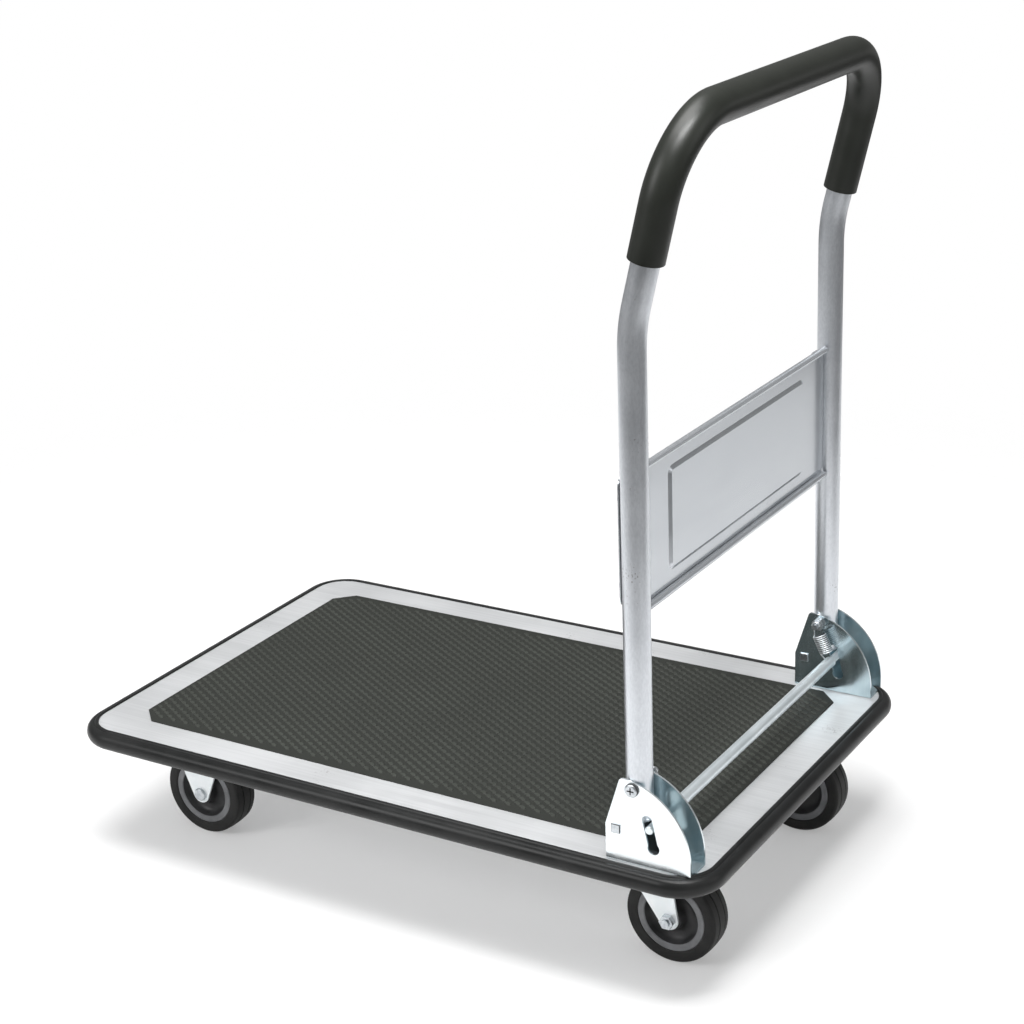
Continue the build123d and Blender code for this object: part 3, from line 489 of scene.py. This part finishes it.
def arc(centre, first, second, count):
    """Points on the arc about a centre from one offset to another, both ends included."""
    angle = first.angle(second)
    axis = first.cross(second).normalized()
    return [centre + Matrix.Rotation(angle * i / count, 3, axis) @ first for i in range(count + 1)]


def quarter_angles(count, start=0):
    """Angles from 0 to a right angle, or from the first step on."""
    return [math.pi / 2 * i / count for i in range(start, count + 1)]


deck_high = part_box("deck")[1]
deck_corner, corner_steps = 0.0355, 20
bumper_proud, bumper_height, nose_drop, nose_root, heel = 0.0115, 0.0197, 0.0094, 0.0036, 0.0012
bead_back, bead_middle, bead_half, bead_rise = -0.0015, 0.00032, 0.0018, 0.0007
groove_lip, lip_rise, groove_near, groove_far, groove_sink = 0.0025, 0.00015, 0.0028, 0.0031, 0.0001
bead_steps, nose_steps = 8, 12
bumper_rubber = rubber_material(
    "bumper_rubber", 0.08, 0.22, Black=(0.011, 0.0115, 0.0115, 1),
    Dusty=(0.019, 0.0195, 0.0195, 1), Dust_Scale=26.0, Grain_Scale=1500.0, Scuff_Level=0.76,
    Smooth=0.29, Rough=0.38)
inset_x, inset_y = deck_high.x - deck_corner, deck_high.y - deck_corner
rim = []
for sx, sy in ((1, 1), (-1, 1), (-1, -1), (1, -1)):
    first, second = Vector((sx, 0, 0)), Vector((0, sy, 0))
    if sx * sy < 0:
        first, second = second, first
    corner = Vector((sx * inset_x, sy * inset_y, deck_high.z))
    rim += arc(corner, first * deck_corner, second * deck_corner, corner_steps)
bead = [(bead_back, 0.0), (bead_back, bead_rise)]
bead += [(bead_middle + bead_half * math.cos(a), bead_rise + bead_rise * math.sin(a))
         for a in [math.pi * (1 - i / bead_steps) for i in range(1, bead_steps + 1)]]
groove = [(groove_lip, lip_rise), (groove_near, -groove_sink), (groove_far, -groove_sink),
          (nose_root, 0.0)]
nose_angles = quarter_angles(nose_steps, 1)
nose_up = [(nose_root + (bumper_proud - nose_root) * math.sin(a),
            -nose_drop + nose_drop * math.cos(a)) for a in nose_angles]
nose_down = [(heel + (bumper_proud - heel) * math.cos(a),
              -nose_drop - (bumper_height - nose_drop) * math.sin(a)) for a in nose_angles]
back = [(0.0, -bumper_height), (0.0, 0.0)]
bumper_section = [(x, -y, 0) for x, y in bead + groove + nose_up + nose_down + back]
bumper = draw("bumper_extrusion", rim, bumper_section, bumper_rubber, closed=True, smooth_angle=50.0)
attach(bumper, "chassis")
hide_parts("bumper")

# Hinge brackets: steel channels bolted to the deck, with a quarter-round back and a slot for the
# bar. They are bright zinc, slightly blue. A paler copy of the zinc on the outer faces, the cut
# edges and the upward faces is painted highlight, and a darker copy inside the channel is painted
# shade. The inside of the one on the -Y side is painted darker still, low down and towards the
# front, as painted shadow.
bracket_finishes = (
    ("bracket_zinc", 1.0, (0.6, 0.71, 0.75, 1), (0.44, 0.55, 0.59, 1), (0.38, 0.42, 0.44, 1)),
    ("face_zinc", 0.85, (0.88, 0.93, 0.95, 1), (0.79, 0.86, 0.89, 1), (0.5, 0.55, 0.57, 1)),
    ("dull_zinc", 0.7, (0.43, 0.55, 0.59, 1), (0.3, 0.41, 0.45, 1), (0.3, 0.34, 0.36, 1)),
)
bracket_zinc, face_zinc, dull_zinc = (
    zinc_material(
        name, metallic, 0.02, Pale=pale, Deep=deep, Rubs=rubs, Cloud_Scale=24.0,
        Streak_Scale=(90.0, 90.0, 26.0), Speck_Scale=420.0, Speck_Level=0.88, Smooth=0.14, Rough=0.26)
    for name, metallic, pale, deep, rubs in bracket_finishes)
lit_face_index, shaded_face_index = 1, 2
plate, skim, bracket_edge, upward = 0.002, 0.0002, 0.00035, 0.9
# Painted shadow: inside the -Y bracket the channel is painted darker low down and towards the front.
shadow_x, lit_x = 0.304, 0.313
shadow_z, lit_z = 0.18, 0.192
tree = dull_zinc.node_tree
spot = put(tree, "ShaderNodeSeparateXYZ", {0: object_space(tree)}).outputs
unshaded = maths(tree, "MAXIMUM", ranged(tree, spot[0], shadow_x, lit_x, smooth=True),
              ranged(tree, spot[2], shadow_z, lit_z, smooth=True))
unshaded = maths(tree, "MAXIMUM", unshaded, maths(tree, "GREATER_THAN", spot[1], 0.0))
paint_shade(dull_zinc, (0.12, 0.14, 0.145, 1), unshaded)
for side in ("left", "right"):
    bracket = eased(f"{side}_hinge_bracket", bracket_edge, bracket_zinc, "chassis")
    bracket.data.materials.append(face_zinc)
    bracket.data.materials.append(dull_zinc)
    inner, outer = sorted(abs(corner.y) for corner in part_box(f"{side}_hinge_bracket"))
    # Outer faces, cut edges and upward faces take the paler copy as painted highlight; faces inside the
    # channel take the darker copy as painted shade.
    for face in bracket.data.polygons:
        reach = abs(face.center.y)
        outside = reach > outer - plate + skim
        if outside or skim < reach - inner < plate - skim or face.normal.z > upward:
            face.material_index = lit_face_index
        elif inner + plate - skim < reach < outer - plate + skim:
            face.material_index = shaded_face_index

# Bracket bolts, pivots and stop bars: zinc-plated screws, nuts, washers and square bars. The pivot
# screws' cross-recess heads show outside the brackets, their nuts and bare threads inside. Painted
# shade, a near-black copy of the zinc, lies in the recesses, round the heads and round the stop
# bars' outer ends.
fastener_zinc = zinc_material(
    "fastener_zinc", 1.0, 0.05, Pale=(0.66, 0.69, 0.71, 1), Deep=(0.42, 0.45, 0.48, 1),
    Rubs=(0.3, 0.31, 0.32, 1), Cloud_Scale=120.0, Streak_Scale=(400.0, 400.0, 400.0),
    Speck_Scale=600.0, Speck_Level=0.84, Smooth=0.285, Rough=0.38)
# A near-black copy of the zinc that stands for shade in recesses and gaps.
recess_grime = zinc_material(
    "recess_grime", 0.3, 0.05, Pale=(0.07, 0.072, 0.074, 1), Deep=(0.03, 0.031, 0.032, 1),
    Rubs=(0.02, 0.02, 0.02, 1), Cloud_Scale=120.0, Streak_Scale=(400.0, 400.0, 400.0),
    Smooth=0.45, Rough=0.6)
painted_shade_index = 1
screw_edge, stop_edge = 0.00015, 0.0007
recess_reach, recess_top, recess_depth, head_rim = 0.0037, 0.0002, 0.0019, 0.47
bevel_least, bevel_most = 0.2, 0.97
for node in ("bracket_bolts", "bracket_nuts", "pivot_washers", "pivot_nuts"):
    eased(node, screw_edge, fastener_zinc, "chassis")
for side in ("left", "right"):
    bolt = eased(f"{side}_pivot_bolt", screw_edge, fastener_zinc, "chassis")
    bolt.data.materials.append(recess_grime)
    low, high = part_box(f"{side}_pivot_bolt")
    middle = (low + high) / 2
    head_top = max(abs(low.y), abs(high.y))
    # Faces in the cross recess and round the head's rim take the painted shade.
    for face in bolt.data.polygons:
        off = math.hypot(face.center.x - middle.x, face.center.z - middle.z)
        depth = head_top - abs(face.center.y)
        in_recess = off < recess_reach and recess_top < depth < recess_depth
        if in_recess or off > (high.x - low.x) * head_rim:
            face.material_index = painted_shade_index
for side in ("left", "right"):
    stop = eased(f"{side}_stop_bar", stop_edge, fastener_zinc, "chassis")
    stop.data.materials.append(recess_grime)
    low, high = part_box(f"{side}_stop_bar")
    # The bevel round each bar's outer end takes the painted shade, as a shadow line round the bar.
    for face in stop.data.polygons:
        on_bevel = bevel_least < abs(face.normal.y) < bevel_most
        if on_bevel and abs(face.center.y) > abs(low.y + high.y) / 2:
            face.material_index = painted_shade_index

# Release bar: a round steel bar between the brackets, pressed down by foot to free the handle.
# Its thinner ends run in the brackets' slots. It is drawn bar, plated like the brackets.
bar_zinc = zinc_material(
    "bar_zinc", 0.7, 0.03, Pale=(0.84, 0.9, 0.93, 1), Deep=(0.7, 0.77, 0.8, 1),
    Rubs=(0.4, 0.43, 0.45, 1), Cloud_Scale=30.0, Streak_Scale=(420.0, 9.0, 420.0),
    Speck_Scale=520.0, Speck_Level=0.86, Smooth=0.285, Rough=0.36)
bar_edge = 0.0002
eased("release_bar", bar_edge, bar_zinc, "release_bar")

# Return springs: drawn wire, each one length, hooked over a pivot screw and wound in an open coil
# down to a hook round the bar's end. They stretch as the bar goes down. The inner sides of the
# coil's turns are painted darker, as painted shade between turns.
spring_steel = zinc_material(
    "spring_steel", 0.9, 0.02, Pale=(0.94, 0.97, 0.99, 1), Deep=(0.82, 0.86, 0.89, 1),
    Rubs=(0.28, 0.28, 0.28, 1), Cloud_Scale=90.0, Streak_Scale=(260.0, 260.0, 260.0),
    Speck_Scale=500.0, Speck_Level=0.86, Smooth=0.285, Rough=0.36)
wire, wire_sides = 0.0015, 10
coil_radius, coil_pitch, coil_turns, turn_steps = 0.0065, 0.00205, 10, 24
shade_radius, bright, hook_clear = coil_radius + wire * 0.1, coil_radius + wire * 0.4, wire / 3
screw_radius, neck_radius, hook_gap = 0.003, 0.004, 0.0003
hook_start, hook_sweep, hook_steps = 70, 220, 16
pivot = Vector(next(j for j in frame["joints"] if j["name"] == "handle_fold")["pos_m"])
side_way = Vector((0, 1, 0))


def round_section(radius, count):
    return [(radius * math.cos(2 * math.pi * i / count), radius * math.sin(2 * math.pi * i / count), 0)
            for i in range(count)]


def lead_in(before, after, count=8):
    """Points that carry one run of wire smoothly into the next."""
    first, last = before[-1], after[0]
    reach = (last - first).length
    leave = (before[-1] - before[-2]).normalized() * reach
    arrive = (after[1] - after[0]).normalized() * reach
    points = []
    for i in range(1, count):
        t = i / count
        points.append(first * (2 * t**3 - 3 * t**2 + 1) + leave * (t**3 - 2 * t**2 + t)
                      + last * (3 * t**2 - 2 * t**3) + arrive * (t**3 - t**2))
    return points


bar_low, bar_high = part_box("release_bar")
for side in ("left", "right"):
    low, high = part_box(f"{side}_spring")
    spring_y = (low.y + high.y) / 2
    top = Vector((pivot.x, spring_y, pivot.z))
    foot = Vector(((bar_low.x + bar_high.x) / 2, spring_y, (bar_low.z + bar_high.z) / 2))
    span = (foot - top).length
    down = (foot - top).normalized()
    across = Vector((-down.z, 0, down.x))
    start = (span - coil_turns * coil_pitch) / 2
    hook_top = screw_radius + wire / 2 + hook_gap
    hook_low = neck_radius + wire / 2 + hook_gap
    hooks = [math.radians(hook_start + hook_sweep * i / hook_steps) for i in range(hook_steps + 1)]
    path = [top + (down * math.cos(a) + across * math.sin(a)) * hook_top for a in hooks]
    coil = []
    for i in range(coil_turns * turn_steps + 1):
        turn = math.pi + 2 * math.pi * i / turn_steps
        coil.append(top + down * (start + coil_pitch * i / turn_steps)
                    + (across * math.cos(turn) + side_way * math.sin(turn)) * coil_radius)
    tail = [foot + (-down * math.cos(a) + across * math.sin(a)) * hook_low for a in hooks[::-1]]
    path += lead_in(path, coil) + coil + lead_in(coil, tail) + tail
    spring = draw(f"{side}_return_spring", path, round_section(wire / 2, wire_sides), spring_steel)
    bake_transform(spring)
    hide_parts(f"{side}_spring")
# Painted shade: the wire's inner side along the coil takes a darker colour, as shade between the turns;
# the hooks and lead-ins stay pale.
tree = spring_steel.node_tree
either_side = vector_maths(tree, "ABSOLUTE", object_space(tree))[0]
from_top = vector_maths(tree, "SUBTRACT", either_side, (top.x, abs(top.y), top.z))[0]
spoke = vector_maths(tree, "LENGTH", vector_maths(tree, "CROSS_PRODUCT", from_top, down)[0])["Value"]
crest = ranged(tree, spoke, shade_radius, bright)
fall = vector_maths(tree, "DOT_PRODUCT", from_top, down)["Value"]
in_coil = maths(tree, "COMPARE", fall, span / 2, span / 2 - start - hook_clear)
unshaded = maths(tree, "MAXIMUM", crest, maths(tree, "SUBTRACT", 1.0, in_coil))
paint_shade(spring_steel, (0.12, 0.13, 0.14, 1), unshaded)

# Caster forks and plates: zinc-plated pressings bolted up to the channels. The front pair are
# rigid, and the pair at the handle end turn on balls round a riveted kingpin.
fork_zinc = zinc_material(
    "fork_zinc", 0.35, 0.03, Pale=(0.95, 0.98, 0.99, 1), Deep=(0.87, 0.92, 0.94, 1),
    Rubs=(0.4, 0.42, 0.44, 1), Cloud_Scale=30.0, Streak_Scale=(120.0, 120.0, 40.0),
    Speck_Scale=420.0, Speck_Level=0.88, Smooth=0.285, Rough=0.38)
fork_edge, pin_edge, axle_edge, ball_angle = 0.0004, 0.0002, 0.00025, 60.0
for side in ("left", "right"):
    swivel = f"rear_{side}_swivel"
    eased(f"front_{side}_rigid_fork", fork_edge, fork_zinc, "chassis")
    eased(f"rear_{side}_swivel_plate", fork_edge, fork_zinc, "chassis")
    eased(f"rear_{side}_swivel_fork", fork_edge, fork_zinc, swivel)
    eased(f"front_{side}_axle", pin_edge, fastener_zinc, "chassis")
    eased(f"rear_{side}_kingpin", pin_edge, fastener_zinc, "chassis")
    for name in ("axle_bolt", "axle_nut"):
        eased(f"rear_{side}_{name}", axle_edge, fastener_zinc, swivel)
    balls = eased(f"rear_{side}_swivel_balls", 0, fastener_zinc, swivel, ball_angle)
for node in ("caster_bolts", "caster_nuts"):
    eased(node, pin_edge, fastener_zinc, "chassis")

# Wheels: a solid rubber tyre with two fine tread grooves, pressed on a moulded core that has a
# pale rim ring, a dark dished web and a hub on a steel bush.
tyre_rubber = rubber_material(
    "tyre_rubber", 0.2, 0.2, Black=(0.014, 0.014, 0.014, 1), Dusty=(0.03, 0.03, 0.029, 1),
    Dust_Scale=40.0, Grain_Scale=1800.0, Scuff_Level=0.72, Smooth=0.5, Rough=0.66)
ring_plastic = rubber_material(
    "ring_plastic", 0.1, 0.3, Black=(0.15, 0.153, 0.16, 1), Dusty=(0.21, 0.214, 0.222, 1),
    Dust_Scale=60.0, Grain_Scale=2200.0, Scuff_Level=0.75, Smooth=0.4, Rough=0.55)
dish_plastic = rubber_material(
    "dish_plastic", 0.1, 0.3, Black=(0.022, 0.022, 0.023, 1), Dusty=(0.045, 0.045, 0.047, 1),
    Dust_Scale=60.0, Grain_Scale=2200.0, Scuff_Level=0.74, Smooth=0.34, Rough=0.5)
groove_y, groove_w, groove_d, groove_draft = 0.0055, 0.0014, 0.0012, 0.0002
tread_drop, tread_crown, shoulder, shoulder_steps = 0.0006, 0.0001, 0.003, 8
lip_height, lip_round, lip_foot = 0.0022, 0.0006, 0.001
ring_sink, ring_chamfer, ring_width, bush_edge = 0.0008, 0.0008, 0.0064, 0.0002
ring_index, dish_index = 0, 1
# Points of the dish: its wall as (across, below the rim), its web as (across, radius) and its hub as
# (below the hub's face, radius).
dish_wall = [(0.0085, 0.0085), (0.0052, 0.0125)]
dish_web = [(0.0046, 0.0185), (0.0056, 0.0150), (0.0085, 0.0128)]
dish_hub = [(0.0015, 0.0118), (0.0003, 0.0112), (0.0, 0.0104), (0.0, 0.0061)]


def turned(name, profile, centre, materials, bands=None, count=72, smooth_angle=38.0):
    """A piece turned about the axle from a closed profile of (across, radius) points in metres."""
    shape = bmesh.new()
    rings = []
    for i in range(count):
        angle = 2 * math.pi * i / count
        x, z = math.sin(angle), math.cos(angle)
        rings.append([shape.verts.new((centre.x + r * x, centre.y + y, centre.z + r * z))
                      for y, r in profile])
    for i in range(count):
        this, following = rings[i], rings[(i + 1) % count]
        for j in range(len(profile)):
            k = (j + 1) % len(profile)
            face = shape.faces.new((this[j], this[k], following[k], following[j]))
            face.smooth = True
            face.material_index = bands[j] if bands else 0
    bmesh.ops.recalc_face_normals(shape, faces=shape.faces)
    mesh = bpy.data.meshes.new(name)
    shape.to_mesh(mesh)
    shape.free()
    for material in materials:
        mesh.materials.append(material)
    mesh.set_sharp_from_angle(angle=math.radians(smooth_angle))
    return link(name, mesh)


def half_mirror(half):
    """A whole profile: its half on the +Y side, then the mirror image of that half back again."""
    return half + [(-y, r) for y, r in half[::-1]]


for place in ("front_left", "front_right", "rear_left", "rear_right"):
    body = f"{place}_wheel"
    low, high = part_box(f"{place}_tyre")
    core_low, core_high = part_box(f"{place}_wheel_core")
    centre = (low + high) / 2
    tyre_r, half_w = (high.z - low.z) / 2, (high.y - low.y) / 2
    rim_r = (core_high.z - core_low.z) / 2
    groove_in, groove_out = groove_y - groove_w / 2, groove_y + groove_w / 2
    outer = [(0.0, tyre_r), (groove_in, tyre_r), (groove_in + groove_draft, tyre_r - groove_d),
             (groove_out - groove_draft, tyre_r - groove_d), (groove_out, tyre_r - tread_crown)]
    outer += [(half_w - shoulder + shoulder * math.sin(a),
               tyre_r - tread_drop - shoulder + shoulder * math.cos(a))
              for a in quarter_angles(shoulder_steps)]
    outer += [(half_w, rim_r + lip_height), (half_w - lip_round, rim_r + lip_round),
              (half_w - lip_foot, rim_r)]
    tyre = turned(f"{place}_tread", half_mirror(outer), centre, [tyre_rubber])
    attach(tyre, body)
    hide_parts(f"{place}_tyre")
    ring_y, hub_y = half_w - ring_sink, core_high.y - centre.y
    ring_r = rim_r - ring_width
    ring = [(ring_y - ring_chamfer, rim_r), (ring_y, rim_r - ring_chamfer), (ring_y, ring_r)]
    dish = [(ring_y - ring_chamfer, ring_r - ring_chamfer)]
    dish += [(y, rim_r - below) for y, below in dish_wall] + dish_web
    dish += [(hub_y - below, r) for below, r in dish_hub]
    half_bands = [ring_index] * len(ring) + [dish_index] * (len(dish) - 1)
    bands = half_bands + [dish_index] + half_bands[::-1] + [ring_index]
    core = turned(f"{place}_core", half_mirror(ring + dish), centre, [ring_plastic, dish_plastic], bands)
    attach(core, body)
    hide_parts(f"{place}_wheel_core")
    eased(f"{place}_hub_bush", bush_edge, fastener_zinc, body)


# Handle tube: one galvanised tube, bent back above the panel and round across the top, with a fine
# grain all over. Its feet turn on steel bushes between the brackets' plates.
def path_space(tree):
    """The length along a drawn piece's path and the place round its section."""
    along = put(tree, "ShaderNodeAttribute", attribute_name="along").outputs["Fac"]
    around = put(tree, "ShaderNodeAttribute", attribute_name="around").outputs["Vector"]
    split = put(tree, "ShaderNodeSeparateXYZ", {0: around}).outputs
    return put(tree, "ShaderNodeCombineXYZ", {0: along, 1: split[0], 2: split[1]}).outputs[0]


tube_zinc = zinc_material(
    "tube_zinc", 0.88, 0.03, space=path_space, Pale=(0.715, 0.74, 0.775, 1),
    Deep=(0.605, 0.63, 0.665, 1), Rubs=(0.36, 0.36, 0.37, 1), Cloud_Scale=12.0,
    Streak_Scale=(240.0, 560.0, 560.0), Speck_Scale=520.0, Speck_Level=0.86, Smooth=0.28, Rough=0.34)
tube_low, tube_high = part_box("handle_tube")
tube_radius, leg_bend, top_bend = 0.0125, 0.17, 0.07
tube_sides, leg_steps, top_steps = 40, 10, 24
lean, bend_height = math.radians(14), 0.499
leg_x, leg_y = tube_low.x + tube_radius, tube_high.y - tube_radius
top_z, bend_z = tube_high.z - tube_radius, deck_high.z + bend_height
lean_way = Vector((math.sin(lean), 0, math.cos(lean)))
leg_rise = (top_z - bend_z) / lean_way.z


def leg_point(sign, rise):
    return Vector((leg_x, sign * leg_y, bend_z)) + lean_way * rise


def rounded_path(points, radii, steps):
    """Straight runs with a tangent arc at each corner."""
    path = [points[0]]
    for i, (radius, count) in enumerate(zip(radii, steps), 1):
        before, corner, after = points[i - 1], points[i], points[i + 1]
        u, v = (before - corner).normalized(), (after - corner).normalized()
        half = u.angle(v) / 2
        centre = corner + (u + v).normalized() * (radius / math.sin(half))
        first = corner + u * (radius / math.tan(half)) - centre
        second = corner + v * (radius / math.tan(half)) - centre
        path += arc(centre, first, second, count)
    return path + [points[-1]]


feet = [Vector((leg_x, sign * leg_y, tube_low.z)) for sign in (-1, 1)]
tube_path = rounded_path(
    [feet[0], leg_point(-1, 0), leg_point(-1, leg_rise), leg_point(1, leg_rise), leg_point(1, 0),
     feet[1]],
    [leg_bend, top_bend, top_bend, leg_bend], [leg_steps, top_steps, top_steps, leg_steps])
tube = draw("handle_tube_drawn", tube_path, round_section(tube_radius, tube_sides), tube_zinc)
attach(tube, "handle")
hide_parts("handle_tube")
eased("pivot_bushes", bush_edge, fastener_zinc, "handle")

# Cross panel: a galvanised pressing let in between the legs and riveted to their fronts, with its
# long edges curled to the rear for stiffness and a rectangle raised in its middle.
panel_zinc = zinc_material(
    "panel_zinc", 0.72, 0.02, Pale=(0.605, 0.63, 0.66, 1), Deep=(0.535, 0.56, 0.59, 1),
    Rubs=(0.42, 0.43, 0.44, 1), Cloud_Scale=10.0, Streak_Scale=(60.0, 5.0, 60.0),
    Speck_Scale=520.0, Speck_Level=0.9, Smooth=0.16, Rough=0.24)
panel_edge, panel_angle = 0.0003, 16.0
eased("cross_panel", panel_edge, panel_zinc, "handle", panel_angle)
eased("panel_rivets", 0, fastener_zinc, "handle")

# Grip: a smooth black sleeve pushed over the top bar and both corners, a little off centre, with
# softly rounded ends.
grip_plastic = rubber_material(
    "grip_plastic", 0.06, 0.4, Black=(0.0085, 0.0098, 0.0074, 1),
    Dusty=(0.013, 0.0147, 0.0114, 1), Dust_Scale=13.0, Grain_Scale=1400.0, Scuff_Level=0.78,
    Smooth=0.34, Rough=0.44)
grip_radius, grip_leg, grip_shift, grip_round = 0.0164, 0.1325, 0.0129, 0.002
grip_sides, grip_steps, end_steps = 48, 28, 5
ends = [leg_point(-1, leg_rise - grip_leg + grip_shift), leg_point(1, leg_rise - grip_leg - grip_shift)]
grip_path = rounded_path([ends[0], leg_point(-1, leg_rise), leg_point(1, leg_rise), ends[1]],
                         [top_bend, top_bend], [grip_steps, grip_steps])
end_round = [(grip_round * (1 - math.cos(a)), 1 - (grip_round / grip_radius) * (1 - math.sin(a)))
             for a in quarter_angles(end_steps)]
grip_points = [ends[0] + lean_way * rise for rise, _ in end_round] + grip_path[1:-1]
grip_points += [ends[1] + lean_way * rise for rise, _ in end_round[::-1]]
end_radii = [radius for _, radius in end_round]
grip_radii = end_radii + [1.0] * (len(grip_path) - 2) + end_radii[::-1]
grip = draw("grip_sleeve", grip_points, round_section(grip_radius, grip_sides), grip_plastic,
            radii=grip_radii, smooth_angle=60.0)
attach(grip, "handle")
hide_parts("grip")

# Studio: a white floor that fades out a few strides away, sooner where only a reflection shows it,
# soft light from overhead and one side, and a room that is dimmer than the floor. The camera is
# where the photograph was taken.
floor_half, floor_grey, floor_glow = 4.0, (0.66, 0.66, 0.66, 1), 0.3
seen_near, seen_far = 0.75, 1.6
shine_middle, shine_near, shine_far = (-0.1, 0.55, 0), 1.4, 2.0
rear_near, rear_far = 1.05, 1.45
floor_mesh = bpy.data.meshes.new("floor")
floor_corners = [(sx * floor_half, sy * floor_half, 0)
                 for sx, sy in ((-1, -1), (1, -1), (1, 1), (-1, 1))]
floor_mesh.from_pydata(floor_corners, [], [(0, 1, 2, 3)])
floor = link("studio_floor", floor_mesh)
floor_paint, tree, shader = new_material("floor_paint")
tree.nodes.remove(shader)
matt = put(tree, "ShaderNodeBsdfDiffuse", {"Color": floor_grey}).outputs[0]
glow = put(tree, "ShaderNodeEmission", {"Color": (1, 1, 1, 1), "Strength": floor_glow}).outputs[0]
lit = put(tree, "ShaderNodeAddShader", {0: matt, 1: glow}).outputs[0]
rays = put(tree, "ShaderNodeLightPath").outputs
seen = maths(tree, "MAXIMUM", rays["Is Camera Ray"], rays["Is Glossy Ray"])
seen = maths(tree, "MAXIMUM", seen, rays["Is Transmission Ray"])
near = put(tree, "ShaderNodeMixShader", {0: seen, 1: matt, 2: lit}).outputs[0]
spot = object_space(tree)
away = vector_maths(tree, "LENGTH", spot)["Value"]
from_middle = vector_maths(tree, "DISTANCE", spot, shine_middle)["Value"]
to_rear = put(tree, "ShaderNodeSeparateXYZ", {0: spot}).outputs[0]
shine_fade = maths(tree, "MAXIMUM", ranged(tree, from_middle, shine_near, shine_far, smooth=True),
                   ranged(tree, to_rear, rear_near, rear_far, smooth=True))
fade = put(tree, "ShaderNodeMix", {
    0: rays["Is Glossy Ray"], 2: ranged(tree, away, seen_near, seen_far, smooth=True),
    3: shine_fade}, data_type="FLOAT").outputs[0]
clear = put(tree, "ShaderNodeBsdfTransparent").outputs[0]
surface = put(tree, "ShaderNodeMixShader", {0: fade, 1: near, 2: clear}).outputs[0]
output = next(node for node in tree.nodes if node.type == "OUTPUT_MATERIAL")
tree.links.new(surface, output.inputs["Surface"])
floor_mesh.materials.append(floor_paint)

room_lowest, room_highest, room_light = 0.12, 0.3, 0.36
room_bands = ((0.41, 0.1), (0.485, 0.55), (0.505, 0.5), (0.54, 0.15), (0.62, 0.2), (0.8, 0.33))
world = bpy.data.worlds.new("studio")
world.use_nodes = True
bpy.context.scene.world = world
tree = world.node_tree
tree.nodes.clear()
rays = put(tree, "ShaderNodeLightPath").outputs
seen = maths(tree, "MAXIMUM", rays["Is Camera Ray"], rays["Is Transmission Ray"])
way = put(tree, "ShaderNodeTexCoord").outputs["Generated"]
height = put(tree, "ShaderNodeSeparateXYZ", {0: way}).outputs[2]
room = put(tree, "ShaderNodeValToRGB", {"Fac": ranged(tree, height, -1.0, 1.0)})
ramp = room.color_ramp.elements
for place, grey in room_bands:
    ramp.new(place).color = (grey, grey, grey, 1)
ramp[0].color = (room_lowest, room_lowest, room_lowest, 1)
ramp[-1].color = (room_highest, room_highest, room_highest, 1)
shine = put(tree, "ShaderNodeMix", {0: rays["Is Glossy Ray"], 2: room_light, 3: room.outputs[0]},
            data_type="FLOAT").outputs[0]
strength = put(tree, "ShaderNodeMix", {0: seen, 2: shine, 3: 1.0}, data_type="FLOAT").outputs[0]
sky = put(tree, "ShaderNodeBackground", {"Color": (1, 1, 1, 1), "Strength": strength})
tree.links.new(sky.outputs[0], put(tree, "ShaderNodeOutputWorld").inputs["Surface"])

for name, place, aim, size, power in (
    ("overhead", (-0.1, -0.2, 3.0), (0.0, 0.0, 0.0), (1.8, 1.8), 80.0),
    ("window_left", (-1.6, -2.7, 1.9), (0.1, 0.0, 0.25), (1.4, 1.4), 43.0),
    ("rim_right", (2.6, 0.6, 1.3), (0.2, 0.0, 0.3), (1.2, 1.2), 5.0),
    ("strip_front", (0.553, -0.368, 1.335), (0.33, -0.2, 0.75), (0.34, 0.16), 6.5),
):
    lamp = bpy.data.lights.new(name, "AREA")
    lamp.shape, lamp.size, lamp.size_y, lamp.energy = "RECTANGLE", *size, power
    holder = link(name, lamp)
    holder.location = place
    holder.visible_camera = False
    holder.rotation_euler = (Vector(aim) - Vector(place)).to_track_quat("-Z", "Y").to_euler()

eye = bpy.data.cameras.new("photo_camera")
eye.sensor_width, eye.lens = 36.0, 76.95
eye.clip_end = 100.0
camera = link("photo_camera", eye)
camera.location = (1.12502, -1.75822, 1.12925)
camera.rotation_euler = [math.radians(a) for a in (69.5977, 2.1093, 30.9133)]
bpy.context.scene.camera = camera
bpy.context.scene.view_settings.view_transform = "Standard"
